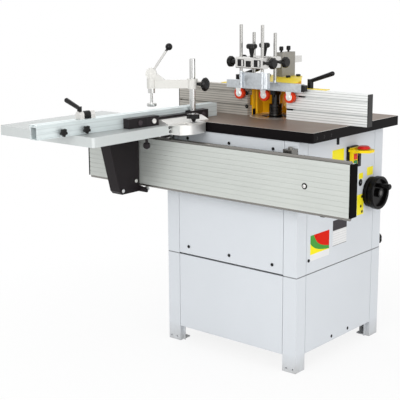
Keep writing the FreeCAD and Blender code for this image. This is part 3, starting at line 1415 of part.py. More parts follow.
def hood_cover():
    """Folded sheet over the hood with a lip at its front."""
    def skin(drop):
        return [
            (COVER_FRONT, COVER_FRONT_TOP - drop),
            (COVER_RIDGE_Y, COVER_TOP - drop),
            (COVER_BACK, COVER_TOP - drop),
        ]
    right = [
        (COVER_FRONT_HALF_WIDTH, COVER_FRONT),
        (COVER_HALF_WIDTH, COVER_FRONT + COVER_CORNER),
        (COVER_HALF_WIDTH, COVER_SIDE_BACK),
        (HOOD_HALF_WIDTH + COVER_EAVE, HOOD_SHOULDER),
        (HOOD_BACK_HALF_WIDTH + COVER_EAVE, HOOD_BACK + COVER_EAVE),
        (COVER_BACK_HALF_WIDTH, COVER_BACK),
    ]
    outline = right + [(-x, y) for x, y in right[::-1]]
    sheet = prism("x", skin(0) + skin(HOOD_SHEET)[::-1], -COVER_HALF_WIDTH, COVER_HALF_WIDTH)
    sheet = sheet.common(prism("z", outline, FENCE_BOTTOM, COVER_TOP + OVERRUN))
    lip = block(-COVER_FRONT_HALF_WIDTH, COVER_FRONT_HALF_WIDTH, COVER_FRONT, COVER_FRONT + HOOD_SHEET,
                COVER_FRONT_TOP - COVER_LIP, COVER_FRONT_TOP - HOOD_SHEET / 2)
    return [fused([sheet, lip])]


def hood_knobs():
    """Bolts on the cover, thumb screws on the bracket and the knobs that hold the hood's feet."""
    pieces = []
    for y in HOOD_BOLT_PLACES:
        bolt = disc(HOOD_BOLT_RADIUS, HOOD_BOLT_HEIGHT, HOOD_BOLT_EDGE, V(HOOD_BOLT_X, y, COVER_TOP),
                    Z_AXIS)
        pieces += [bolt, mirrored(bolt, X_AXIS)]
    for y in THUMB_PLACES:
        neck = rod("z", THUMB_NECK_RADIUS, BRACKET_TOP, BRACKET_TOP + THUMB_NECK + THUMB_HEIGHT / 2, 0, y)
        head = disc(THUMB_RADIUS, THUMB_HEIGHT, HOOD_BOLT_EDGE, V(0, y, BRACKET_TOP + THUMB_NECK), Z_AXIS)
        pieces.append(fused([neck, head]))
    foot_x = HOOD_HALF_WIDTH + HOOD_FOOT_WIDTH / 2
    foot_y = HOOD_FOOT_FRONT + HOOD_FOOT_LENGTH / 2
    foot = V(foot_x, foot_y, FENCE_BOTTOM + HOOD_FOOT_THICKNESS)
    knob = round_knob(foot, Z_AXIS, FOOT_KNOB_RADIUS, FOOT_KNOB_HEIGHT, STAR_NECK_RADIUS, FOOT_KNOB_NECK)
    return pieces + [knob, mirrored(knob, X_AXIS)]


def right_fence_lever():
    """Clamp lever over the right fence half."""
    return [hand_lever(V(LEVER_X, LEVER_Y, WING_TOP), LEVER_STEM, LEVER_STEM_RADIUS, LEVER_REACH,
                       LEVER_RISE)]


def left_fence_lever():
    """Clamp lever over the left fence half."""
    return [hand_lever(V(-LEVER_X, LEVER_Y, WING_TOP), LEVER_STEM, LEVER_STEM_RADIUS, LEVER_REACH,
                       LEVER_RISE)]


# Pressers

def arm_bar(swell, y0, y1):
    """Square bar along the presser arm, swollen on every side."""
    half = ARM_SIZE / 2 + swell
    return block(-half, half, y0, y1, ARM_Z - half, ARM_Z + half)


def presser_bracket():
    """Folded box on the cover that the presser arm slides through."""
    outer = block(-BRACKET_HALF_WIDTH, BRACKET_HALF_WIDTH, BRACKET_FRONT, BRACKET_BACK, BRACKET_FOOT,
                  BRACKET_TOP)
    wall = HOOD_SHEET
    hollow = block(wall - BRACKET_HALF_WIDTH, BRACKET_HALF_WIDTH - wall, BRACKET_FRONT + wall,
                   BRACKET_BACK - wall,
                   BRACKET_FOOT - OVERRUN, BRACKET_TOP - wall)
    path = arm_bar(RUN_FIT, BRACKET_FRONT - OVERRUN, BRACKET_BACK + OVERRUN)
    return [cut_all(outer, [hollow, path])]


def presser_arm():
    """Square bar from the bracket out over the table."""
    return [arm_bar(0, ARM_FRONT, ARM_BACK)]


def rod_block(y):
    """Cross block on the arm with a bore for each presser rod."""
    shape = block(-ROD_BLOCK_HALF, ROD_BLOCK_HALF, y - ROD_BLOCK_HALF_DEPTH, y + ROD_BLOCK_HALF_DEPTH,
                  ROD_BLOCK_BOTTOM, ROD_BLOCK_TOP)
    along = [edge for edge in shape.Edges if abs(edge.Vertexes[0].X - edge.Vertexes[-1].X) > ROD_BLOCK_HALF]
    shape = shape.makeChamfer(ROD_BLOCK_EDGE, along)
    path = arm_bar(SEAT_FIT, y - ROD_BLOCK_HALF_DEPTH - OVERRUN, y + ROD_BLOCK_HALF_DEPTH + OVERRUN)
    bores = [rod("z", ROD_RADIUS + RUN_FIT, ROD_BLOCK_BOTTOM - OVERRUN, ROD_BLOCK_TOP + OVERRUN, x, y)
             for x in (-ROD_X, ROD_X)]
    return cut_all(shape, [path] + bores)


def rod_blocks():
    """Front and rear cross block."""
    return [rod_block(FRONT_ROD_Y), rod_block(REAR_ROD_Y)]


def presser_knobs():
    """Round knobs on top and at both ends of each cross block."""
    knobs = []
    for y in (FRONT_ROD_Y, REAR_ROD_Y):
        knobs.append(round_knob(V(0, y, ROD_BLOCK_TOP), Z_AXIS, STAR_RADIUS, STAR_HEIGHT, STAR_NECK_RADIUS,
                                STAR_NECK))
        side = round_knob(V(ROD_BLOCK_HALF, y, SIDE_STAR_Z), X_AXIS, STAR_RADIUS, STAR_HEIGHT,
                          STAR_NECK_RADIUS, SIDE_STAR_NECK)
        knobs += [side, mirrored(side, X_AXIS)]
    return knobs


def presser_rod(x, y, low, high):
    """Round rod with a chamfered top."""
    profile = [
        (0, low),
        (ROD_RADIUS, low),
        (ROD_RADIUS, high - ROD_CHAMFER),
        (ROD_RADIUS - ROD_CHAMFER, high),
        (0, high),
    ]
    return lathe(profile, V(x, y, 0))


def shoe_outline(inset, z0, z1):
    """Rounded block that the shoe's sheet wraps, drawn in by inset."""
    half = SHOE_HALF_WIDTH - inset
    front = SHOE_FRONT + inset
    corner = SHOE_CORNER - inset
    bend = front + corner
    return fused([
        block(-half, half, bend, SHOE_BACK, z0, z1),
        block(corner - half, half - corner, front, bend, z0, z1),
        rod("z", corner, z0, z1, half - corner, bend),
        rod("z", corner, z0, z1, corner - half, bend),
    ])


def front_presser():
    """Bent sheet shoe on two rods, with the screws that hold it."""
    solid = shoe_outline(0, SHOE_BOTTOM, SHOE_TOP)
    core = shoe_outline(SHEET, SHOE_BOTTOM - OVERRUN, SHOE_TOP + OVERRUN)
    back = block(-SHOE_HALF_WIDTH, SHOE_HALF_WIDTH, SHOE_BACK - SHEET, SHOE_BACK + OVERRUN,
                 SHOE_BOTTOM - OVERRUN, SHOE_TOP + OVERRUN)
    pieces = [cut_all(solid, [core, back])]
    flat = block(-ROD_BLOCK_HALF, ROD_BLOCK_HALF, SHOE_FRONT, FRONT_ROD_Y + ROD_RADIUS + OVERRUN,
                 SHOE_BOTTOM - OVERRUN, SHOE_TOP + OVERRUN)
    skin = FRONT_ROD_Y - ROD_RADIUS
    for x in (-ROD_X, ROD_X):
        bar = [presser_rod(x, FRONT_ROD_Y, SHOE_BOTTOM, FRONT_ROD_TOP).cut(flat)]
        for z in SHOE_SCREW_LEVELS:
            bar.append(rod("y", SHOE_SCREW_RADIUS, skin - SHOE_SCREW_HEIGHT, skin + SHOE_SCREW_HEIGHT, x,
                           z))
        pieces.append(fused(bar))
    return pieces


def roller_places():
    """Roller centres along X."""
    return (-ROLLER_SPACING, 0, ROLLER_SPACING)


def roller_presser():
    """Channel on two rods, with V-shaped tabs and the roller axles."""
    outer = block(-CHANNEL_HALF, CHANNEL_HALF, CHANNEL_FRONT, CHANNEL_BACK, CHANNEL_BOTTOM, CHANNEL_TOP)
    inner_front = CHANNEL_FRONT + SHEET
    inner_back = CHANNEL_BACK - SHEET
    inner = block(-CHANNEL_HALF - OVERRUN, CHANNEL_HALF + OVERRUN, inner_front, inner_back,
                  CHANNEL_BOTTOM - OVERRUN, CHANNEL_TOP - SHEET)
    pieces = [outer.cut(inner)]
    tip = ROLLER_Z - TAB_DROP
    for x in roller_places():
        tab = [
            (x - TAB_HALF, CHANNEL_BOTTOM),
            (x - TAB_TIP_HALF, tip),
            (x + TAB_TIP_HALF, tip),
            (x + TAB_HALF, CHANNEL_BOTTOM),
        ]
        pieces.append(prism("y", tab, CHANNEL_FRONT, inner_front))
        pieces.append(prism("y", tab, inner_back, CHANNEL_BACK))
        pieces.append(rod("y", AXLE_RADIUS, CHANNEL_FRONT, CHANNEL_BACK, x, ROLLER_Z))
        pieces.append(rod("y", AXLE_HEAD_RADIUS, CHANNEL_FRONT - AXLE_HEAD, CHANNEL_FRONT, x, ROLLER_Z))
    rods = [presser_rod(x, REAR_ROD_Y, CHANNEL_TOP, REAR_ROD_TOP) for x in (-ROD_X, ROD_X)]
    return [fused(pieces)] + rods


def roller(x):
    """Roller with a slightly raised hub, bored for its axle."""
    middle = (CHANNEL_FRONT + CHANNEL_BACK) / 2
    half = ROLLER_WIDTH / 2
    bore = AXLE_RADIUS + RUN_FIT
    face = half + ROLLER_HUB_RISE
    profile = [
        (bore, -face),
        (ROLLER_HUB_RADIUS, -face),
        (ROLLER_HUB_RADIUS, -half),
        (ROLLER_RADIUS - ROLLER_EDGE, -half),
        (ROLLER_RADIUS, ROLLER_EDGE - half),
        (ROLLER_RADIUS, half - ROLLER_EDGE),
        (ROLLER_RADIUS - ROLLER_EDGE, half),
        (ROLLER_HUB_RADIUS, half),
        (ROLLER_HUB_RADIUS, face),
        (bore, face),
    ]
    return [lathe(profile, V(x, middle, ROLLER_Z), Y_AXIS)]


def roller_left():
    """Left roller."""
    return roller(roller_places()[0])


def roller_middle():
    """Middle roller."""
    return roller(roller_places()[1])


def roller_right():
    """Right roller."""
    return roller(roller_places()[2])


# Rail

def bar_seat(z, swell):
    """Guide bar shape at one height."""
    return rod("x", RAIL_BAR_RADIUS + swell, RAIL_LEFT, RAIL_RIGHT, BAR_Y, z)


def rail():
    """Hollow extrusion with fine grooves along its face and a seat for each guide bar."""
    shape = block(RAIL_LEFT, RAIL_RIGHT, RAIL_FRONT, RAIL_BACK, RAIL_BOTTOM, RAIL_TOP)
    floor = RAIL_BOTTOM + RAIL_BAR_RADIUS + RAIL_WALL
    ceiling = RAIL_TOP - RAIL_BAR_RADIUS - RAIL_WALL
    pitch = (ceiling - floor + RAIL_WALL) / RAIL_CHAMBERS
    tools = []
    for index in range(RAIL_CHAMBERS):
        z0 = floor + index * pitch
        tools.append(block(RAIL_LEFT - OVERRUN, RAIL_RIGHT + OVERRUN, RAIL_FRONT + RAIL_WALL,
                           RAIL_BACK - RAIL_WALL,
                           z0, z0 + pitch - RAIL_WALL))
    step = (RAIL_TOP - RAIL_BOTTOM) / (RAIL_GROOVES + 1)
    for index in range(RAIL_GROOVES):
        z0 = RAIL_BOTTOM + (index + 1) * step - RAIL_GROOVE_WIDTH / 2
        tools.append(block(RAIL_LEFT - OVERRUN, RAIL_RIGHT + OVERRUN, RAIL_FRONT - OVERRUN,
                           RAIL_FRONT + RAIL_GROOVE_DEPTH, z0, z0 + RAIL_GROOVE_WIDTH))
    for z in (UPPER_BAR_Z, LOWER_BAR_Z):
        tools.append(bar_seat(z, SEAT_FIT))
    return [cut_all(shape, tools)]


def rail_bars():
    """Upper and lower round guide bar."""
    return [bar_seat(UPPER_BAR_Z, 0), bar_seat(LOWER_BAR_Z, 0)]


def rail_end_caps():
    """Plates that close both ends of the rail, and the stop under it."""
    right = block(RAIL_RIGHT, RAIL_RIGHT + RAIL_CAP, RAIL_FRONT, RAIL_BACK, RAIL_BOTTOM, RAIL_TOP)
    left = block(RAIL_LEFT - RAIL_CAP, RAIL_LEFT, RAIL_FRONT, RAIL_BACK, RAIL_BOTTOM, RAIL_TOP)
    half = STOP_SIZE / 2
    stop = block(STOP_X - half, STOP_X + half, RAIL_BACK - STOP_SIZE, RAIL_BACK, RAIL_BOTTOM - STOP_SIZE,
                 RAIL_BOTTOM)
    return [left, right, stop]


def rail_brackets():
    """Box brackets between the posts and the rail, their adjusting bolts and the rail's bolt."""
    outer = HALF_WIDTH - BRACKET_OUTER_INSET
    inner = outer - BRACKET_WIDTH
    shape = block(inner, outer, RAIL_BACK, -HALF_DEPTH, BRACKET_FOOT_Z, BRACKET_HEAD_Z)
    hollow = block(inner + BRACKET_WALL, outer - BRACKET_WALL, RAIL_BACK + BRACKET_WALL,
                   -HALF_DEPTH - BRACKET_WALL,
                   BRACKET_FOOT_Z - OVERRUN, BRACKET_HEAD_Z - BRACKET_WALL)
    shape = shape.cut(hollow)
    middle = V((inner + outer) / 2, (RAIL_BACK - HALF_DEPTH) / 2, BRACKET_HEAD_Z)
    bolt = hexagon(ADJUSTER_HEAD_RADIUS, middle, ADJUSTER_HEAD)
    rail_bolt = disc(RAIL_BOLT_RADIUS, RAIL_BOLT_RISE, SCREW_EDGE, V(RAIL_BOLT_X, RAIL_FRONT, RAIL_BOLT_Z),
                     -Y_AXIS)
    return [shape, bolt, mirrored(shape, X_AXIS), mirrored(bolt, X_AXIS), rail_bolt]


# Sliding table

def sliding_table():
    """Ribbed plate that slides along the rail, with the mitre pivot pin in it."""
    shape = block(SLIDE_LEFT, SLIDE_RIGHT, SLIDE_FRONT, SLIDE_BACK, SLIDE_BOTTOM, TABLE_TOP)
    front_corners = [edge for edge in shape.Edges
                     if abs(edge.Vertexes[0].Z - edge.Vertexes[-1].Z) > SLIDE_THICKNESS / 2
                     and edge.Vertexes[0].Y < SLIDE_BACK]
    shape = shape.makeFillet(SLIDE_CORNER, front_corners)
    low = SLIDE_BOTTOM - OVERRUN
    high = TABLE_TOP - SLIDE_PLATE
    y0 = SLIDE_FRONT + SLIDE_RIM
    y1 = SLIDE_BACK - SLIDE_BAND
    left = block(SLIDE_LEFT + SLIDE_RIM, SUPPORT_LEFT - SUPPORT_RIB_MARGIN, y0, y1, low, high)
    right = block(SUPPORT_RIGHT + SUPPORT_RIB_MARGIN, SLIDE_RIGHT - SLIDE_RIM, y0, y1, low, high)
    hole = rod("z", PIVOT_RADIUS + SEAT_FIT, TABLE_TOP - PIVOT_DEPTH, TABLE_TOP + OVERRUN, PIVOT_X, PIVOT_Y)
    pin = rod("z", PIVOT_RADIUS, TABLE_TOP - PIVOT_DEPTH, SWIVEL_Z + HEAD_FOOT, PIVOT_X, PIVOT_Y)
    return [cut_all(shape, [left, right, hole]), pin]


def roller_axis_z(upper):
    """Height of the axles of the rollers on the upper or under the lower bar."""
    if upper:
        return UPPER_BAR_Z + RAIL_BAR_RADIUS + SLIP + UPPER_ROLLER_RADIUS
    return LOWER_BAR_Z - RAIL_BAR_RADIUS - SLIP - LOWER_ROLLER_RADIUS


def support_channel():
    """Channel under the sliding table that reaches down past the rail."""
    side = [
        (SUPPORT_FRONT_TOP, SLIDE_BOTTOM),
        (SUPPORT_BACK, SLIDE_BOTTOM),
        (SUPPORT_BACK, SUPPORT_BOTTOM),
        (SUPPORT_FRONT_BOTTOM + SUPPORT_CHIN, SUPPORT_BOTTOM),
        (SUPPORT_FRONT_BOTTOM, SUPPORT_BOTTOM + SUPPORT_CHIN),
    ]
    outer = prism("x", side, SUPPORT_LEFT, SUPPORT_RIGHT)
    wall = SUPPORT_SHEET
    hollow = [
        (SUPPORT_FRONT_TOP + wall, SLIDE_BOTTOM - wall),
        (SUPPORT_BACK + OVERRUN, SLIDE_BOTTOM - wall),
        (SUPPORT_BACK + OVERRUN, SUPPORT_BOTTOM - OVERRUN),
        (SUPPORT_FRONT_BOTTOM + SUPPORT_CHIN + wall, SUPPORT_BOTTOM - OVERRUN),
        (SUPPORT_FRONT_BOTTOM + wall, SUPPORT_BOTTOM + SUPPORT_CHIN),
    ]
    return outer.cut(prism("x", hollow, SUPPORT_LEFT + wall, SUPPORT_RIGHT - wall))


def support_arm():
    """Support channel with the lower roller holder, the upper roller brackets and the lock ball."""
    plate_back = RAIL_FRONT - HOLDER_GAP
    plate_front = plate_back - SUPPORT_SHEET
    axis_low = roller_axis_z(False)
    holder = [
        (SUPPORT_LEFT, SUPPORT_BOTTOM),
        (HOLDER_RIGHT, SUPPORT_BOTTOM),
        (HOLDER_RIGHT, axis_low + GUIDE_AXLE_RADIUS),
        (SUPPORT_RIGHT, SUPPORT_BOTTOM + HOLDER_TOP_RISE),
        (SUPPORT_LEFT, SUPPORT_BOTTOM + HOLDER_TOP_RISE),
    ]
    reach = prism("y", holder, plate_front - SUPPORT_SHEET, plate_back)
    ball_z = SLIDE_BOTTOM - BALL_DROP
    ball = fused([
        Part.makeSphere(BALL_RADIUS, V(BALL_X, BALL_Y, ball_z)),
        rod("z", BALL_STUD_RADIUS, ball_z, TABLE_TOP - SLIDE_PLATE, BALL_X, BALL_Y),
    ])
    pieces = [fused([support_channel(), reach]), ball]
    low = SLIDE_BOTTOM - ROLLER_BRACKET_DROP
    for x in UPPER_ROLLER_PLACES:
        outline = [
            (x - ROLLER_BRACKET_HALF, SLIDE_BOTTOM),
            (x - ROLLER_BRACKET_TIP, low),
            (x + ROLLER_BRACKET_TIP, low),
            (x + ROLLER_BRACKET_HALF, SLIDE_BOTTOM),
        ]
        pieces.append(prism("y", outline, plate_front, plate_back))
    return pieces


def guide_rollers():
    """Rollers above and below the guide bars on their axles, and the support arm's bolts."""
    half = GUIDE_ROLLER_WIDTH / 2
    plate_back = RAIL_FRONT - HOLDER_GAP
    pieces = []
    for x in UPPER_ROLLER_PLACES:
        z = roller_axis_z(True)
        wheel = rod("y", UPPER_ROLLER_RADIUS, BAR_Y - half, BAR_Y + half, x, z)
        pieces.append(fused([wheel, rod("y", GUIDE_AXLE_RADIUS, plate_back, BAR_Y, x, z)]))
    for x in LOWER_ROLLER_PLACES:
        z = roller_axis_z(False)
        wheel = rod("y", LOWER_ROLLER_RADIUS, BAR_Y - half, BAR_Y + half, x, z)
        pieces.append(fused([wheel, rod("y", GUIDE_AXLE_RADIUS, plate_back, BAR_Y, x, z)]))
    for inset, z in SIDE_BOLTS:
        place = V(SUPPORT_RIGHT, SUPPORT_BACK - inset, z)
        pieces.append(disc(CARRIAGE_BOLT_RADIUS, CARRIAGE_BOLT_RISE, SCREW_EDGE, place, X_AXIS))
    return pieces


# Mitre fence

def set_off(shape):
    """Mitre piece turned to the angle it stands at."""
    return shape.rotate(V(PIVOT_X, PIVOT_Y, 0), Z_AXIS, MITRE_SET_ANGLE)


def sector_place(radius, angle):
    """Point on a circle round the mitre pivot, as X and Y."""
    turn = math.radians(angle)
    return PIVOT_X + radius * math.cos(turn), PIVOT_Y + radius * math.sin(turn)


def mitre_base():
    """Quadrant plate on the sliding table's edge, hollow underneath, with the lock's arc slot."""
    y0 = BASE_FRONT
    bounds = block(SLIDE_RIGHT, PIVOT_X + BASE_RADIUS, y0, BASE_BACK, SLIDE_BOTTOM, TABLE_TOP)
    outer = rod("z", BASE_RADIUS, SLIDE_BOTTOM, TABLE_TOP, PIVOT_X, PIVOT_Y).common(bounds)
    inner_bounds = block(SLIDE_RIGHT + BASE_SKIRT, PIVOT_X + BASE_RADIUS, y0 + BASE_SKIRT,
                         BASE_BACK - BASE_SKIRT,
                         SLIDE_BOTTOM - OVERRUN, TABLE_TOP - BASE_PLATE)
    hollow = rod("z", BASE_RADIUS - BASE_SKIRT, SLIDE_BOTTOM - OVERRUN, TABLE_TOP - BASE_PLATE, PIVOT_X,
                 PIVOT_Y)
    half = LOCK_STUD_RADIUS + SLOT_FIT
    ring = tube("z", LOCK_RADIUS + half, LOCK_RADIUS - half, TABLE_TOP - BASE_PLATE - OVERRUN,
                TABLE_TOP + OVERRUN,
                PIVOT_X, PIVOT_Y)
    first = LOCK_ANGLE + MITRE_SET_ANGLE - LOCK_SLOT_FRONT
    last = LOCK_ANGLE + MITRE_SET_ANGLE + LOCK_SLOT_BACK
    reach = 2 * BASE_RADIUS
    wedge = [(PIVOT_X, PIVOT_Y)]
    wedge.append(sector_place(reach, first))
    wedge.append(sector_place(reach, (first + last) / 2))
    wedge.append(sector_place(reach, last))
    slot = ring.common(prism("z", wedge, TABLE_TOP - BASE_PLATE - OVERRUN, TABLE_TOP + OVERRUN))
    return [cut_all(outer, [hollow.common(inner_bounds), slot])]


def mitre_head():
    """Swivel casting with a sloped wall along the carrier and a tongue out to the lock."""
    wall = [
        (CARRIER_RIGHT, SWIVEL_Z),
        (CARRIER_RIGHT + HEAD_RIDGE + HEAD_FALL_WIDTH, SWIVEL_Z),
        (CARRIER_RIGHT + HEAD_RIDGE + HEAD_FALL_WIDTH, SWIVEL_Z + HEAD_FOOT),
        (CARRIER_RIGHT + HEAD_RIDGE, HEAD_TOP),
        (CARRIER_RIGHT, HEAD_TOP),
    ]
    body = prism("y", wall, HEAD_FRONT, HEAD_BACK)
    x, y = sector_place(LOCK_RADIUS, LOCK_ANGLE)
    foot_top = SWIVEL_Z + HEAD_FOOT
    tongue = block(CARRIER_RIGHT, PIVOT_X + HEAD_TONGUE_REACH, y - HEAD_TONGUE_HALF, y + HEAD_TONGUE_HALF,
                   SWIVEL_Z, foot_top)
    seat = block(CARRIER_LEFT + FREE_GAP, CARRIER_RIGHT, PIVOT_Y - PIVOT_RADIUS - BASE_SKIRT,
                 PIVOT_Y + PIVOT_RADIUS + BASE_SKIRT, SWIVEL_Z, foot_top)
    bores = [
        rod("z", PIVOT_RADIUS + RUN_FIT, SWIVEL_Z - OVERRUN, foot_top + OVERRUN, PIVOT_X, PIVOT_Y),
        rod("z", LOCK_STUD_RADIUS + RUN_FIT, SWIVEL_Z - OVERRUN, foot_top + OVERRUN, x, y),
    ]
    return [set_off(cut_all(fused([body, tongue, seat]), bores))]


def carrier_bar():
    """Bar that joins the swivel head to the mitre fence, with a block at each end and bolts on its side."""
    waist_right = CARRIER_RIGHT - CARRIER_WAIST
    low = SWIVEL_Z + HEAD_FOOT + FREE_GAP
    front_end = CARRIER_FRONT + CARRIER_FRONT_BLOCK
    back_start = CARRIER_BACK - CARRIER_BACK_BLOCK
    bar = fused([
        block(CARRIER_LEFT, CARRIER_RIGHT, HEAD_FRONT, HEAD_BACK, low, CARRIER_TOP - CARRIER_WAIST),
        block(CARRIER_LEFT, waist_right, CARRIER_FRONT, CARRIER_BACK, low, CARRIER_TOP - CARRIER_WAIST),
        block(CARRIER_LEFT, CARRIER_RIGHT, CARRIER_FRONT, front_end, SWIVEL_Z + FREE_GAP, CARRIER_TOP),
        block(CARRIER_LEFT, CARRIER_RIGHT, back_start, CARRIER_BACK, SWIVEL_Z + FREE_GAP, CARRIER_TOP),
    ])
    seat = rod("z", COLUMN_RADIUS + RUN_FIT, CARRIER_TOP - COLUMN_SEAT, CARRIER_TOP + OVERRUN, COLUMN_X,
               COLUMN_Y)
    pieces = [set_off(bar.cut(seat))]
    for reach in (-CARRIER_BOLT_FAR_REACH, -CARRIER_BOLT_NEAR_REACH, CARRIER_BOLT_BACK_REACH):
        place = V(CARRIER_RIGHT, PIVOT_Y + reach, (SWIVEL_Z + CARRIER_TOP) / 2)
        bolt = disc(CARRIER_BOLT_RADIUS, CARRIER_BOLT_RISE, SCREW_EDGE, place, X_AXIS)
        pieces.append(set_off(bolt))
    return pieces


def mitre_fence():
    """Hollow extrusion with slots along it, and the flip stop's saddle on it."""
    shape = block(MITRE_FENCE_LEFT, CARRIER_LEFT, MITRE_FENCE_FRONT, MITRE_FENCE_BACK, SWIVEL_Z,
                  MITRE_FENCE_TOP)
    wall = MITRE_FENCE_WALL
    ends = (MITRE_FENCE_FRONT - OVERRUN, MITRE_FENCE_BACK + OVERRUN)
    deep = MITRE_SLOT_DEPTH + wall
    hollow = block(MITRE_FENCE_LEFT + deep, CARRIER_LEFT - wall, ends[0], ends[1], SWIVEL_Z + wall,
                   MITRE_FENCE_TOP - deep)
    half = MITRE_SLOT_WIDTH / 2
    top_slot = block(STOP_AXIS_X - half, STOP_AXIS_X + half, ends[0], ends[1],
                     MITRE_FENCE_TOP - MITRE_SLOT_DEPTH,
                     MITRE_FENCE_TOP + OVERRUN)
    middle = (SWIVEL_Z + MITRE_FENCE_TOP) / 2
    face_slot = block(MITRE_FENCE_LEFT - OVERRUN, MITRE_FENCE_LEFT + MITRE_SLOT_DEPTH, ends[0], ends[1],
                      middle - half, middle + half)
    grooves = [block(CARRIER_LEFT - MITRE_GROOVE_DEPTH, CARRIER_LEFT + OVERRUN, ends[0], ends[1],
                     z - MITRE_GROOVE_WIDTH / 2, z + MITRE_GROOVE_WIDTH / 2) for z in MITRE_GROOVE_LEVELS]
    shape = cut_all(shape, [hollow, top_slot, face_slot] + grooves)
    near = STOP_BODY_HALF + FREE_GAP
    far = near + STOP_BARREL
    saddle = [rod("y", STOP_SHAFT_RADIUS, STOP_Y - far, STOP_Y + far, STOP_AXIS_X, STOP_AXIS_Z)]
    for start in (STOP_Y - far, STOP_Y + near):
        saddle.append(rod("y", STOP_BARREL_RADIUS, start, start + STOP_BARREL, STOP_AXIS_X, STOP_AXIS_Z))
        saddle.append(block(STOP_AXIS_X - STOP_BARREL_RADIUS, STOP_AXIS_X + STOP_BARREL_RADIUS, start,
                            start + STOP_BARREL, MITRE_FENCE_TOP, STOP_AXIS_Z))
    return [set_off(shape), set_off(fused(saddle))]


def fence_knobs():
    """Two wing knobs on the fence's side and the lever that locks the flip stop's saddle."""
    pieces = []
    for reach in (WING_KNOB_FAR_REACH, WING_KNOB_NEAR_REACH):
        place = V(CARRIER_LEFT, PIVOT_Y - reach, WING_KNOB_Z)
        knob = star_knob(place, X_AXIS, WING_KNOB_RADIUS, WING_KNOB_HEIGHT, WING_KNOB_NECK_RADIUS,
                         WING_KNOB_NECK)
        pieces.append(set_off(knob))
    far = STOP_BODY_HALF + FREE_GAP + STOP_BARREL
    base = V(STOP_AXIS_X, STOP_Y - far + STOP_LEVER_STEM_RADIUS, STOP_AXIS_Z + STOP_BARREL_RADIUS)
    lever = hand_lever(V(0, 0, 0), STOP_LEVER_STEM, STOP_LEVER_STEM_RADIUS, STOP_LEVER_REACH,
                       STOP_LEVER_RISE)
    lever.rotate(V(0, 0, 0), Z_AXIS, FULL_TURN / 2)
    lever.translate(base)
    return pieces + [set_off(lever)]


def mitre_knob():
    """Three-lobed lock knob whose stud runs in the base's arc slot."""
    x, y = sector_place(LOCK_RADIUS, LOCK_ANGLE)
    top = SWIVEL_Z + HEAD_FOOT + FREE_GAP
    knob = star_knob(V(x, y, top), Z_AXIS, LOCK_KNOB_RADIUS, LOCK_KNOB_HEIGHT, STAR_NECK_RADIUS, LOCK_NECK,
                     LOCK_LOBES)
    nut_top = TABLE_TOP - BASE_PLATE - FREE_GAP
    stud = rod("z", LOCK_STUD_RADIUS, nut_top - LOCK_NUT_HEIGHT, top + LOCK_NECK, x, y)
    nut = rod("z", LOCK_NUT_RADIUS, nut_top - LOCK_NUT_HEIGHT, nut_top, x, y)
    return [set_off(fused([knob, stud, nut]))]


def flip_stop():
    """Stop finger that hangs in front of the fence and flips up on the saddle's shaft."""
    y0 = STOP_Y - STOP_BODY_HALF
    y1 = STOP_Y + STOP_BODY_HALF
    face = MITRE_FENCE_LEFT - FREE_GAP
    ring = rod("y", STOP_BARREL_RADIUS, y0, y1, STOP_AXIS_X, STOP_AXIS_Z)
    reach = block(face - STOP_FINGER_THICKNESS, STOP_AXIS_X, y0, y1, STOP_AXIS_Z - STOP_SHAFT_RADIUS,
                  STOP_AXIS_Z + STOP_SHAFT_RADIUS)
    finger = block(face - STOP_FINGER_THICKNESS, face, y0, y1, STOP_AXIS_Z - STOP_FINGER_DROP,
                   STOP_AXIS_Z + STOP_SHAFT_RADIUS)
    bore = rod("y", STOP_SHAFT_RADIUS + RUN_FIT, y0 - OVERRUN, y1 + OVERRUN, STOP_AXIS_X, STOP_AXIS_Z)
    return [set_off(fused([ring, reach, finger]).cut(bore))]


# Hold-down clamp, built along +X from its column and then swung to its place

def clamp_place(shape):
    """Clamp piece moved from the origin to the column and swung to its direction."""
    shape.rotate(V(0, 0, 0), Z_AXIS, CLAMP_ANGLE)
    shape.translate(V(COLUMN_X, COLUMN_Y, 0))
    return set_off(shape)


def clamp_column():
    """Round column that turns in the carrier."""
    foot = CARRIER_TOP - COLUMN_SEAT
    profile = [
        (0, foot),
        (COLUMN_RADIUS, foot),
        (COLUMN_RADIUS, COLUMN_TOP - COLUMN_CHAMFER),
        (COLUMN_RADIUS - COLUMN_CHAMFER, COLUMN_TOP),
        (0, COLUMN_TOP),
    ]
    return [clamp_place(lathe(profile))]


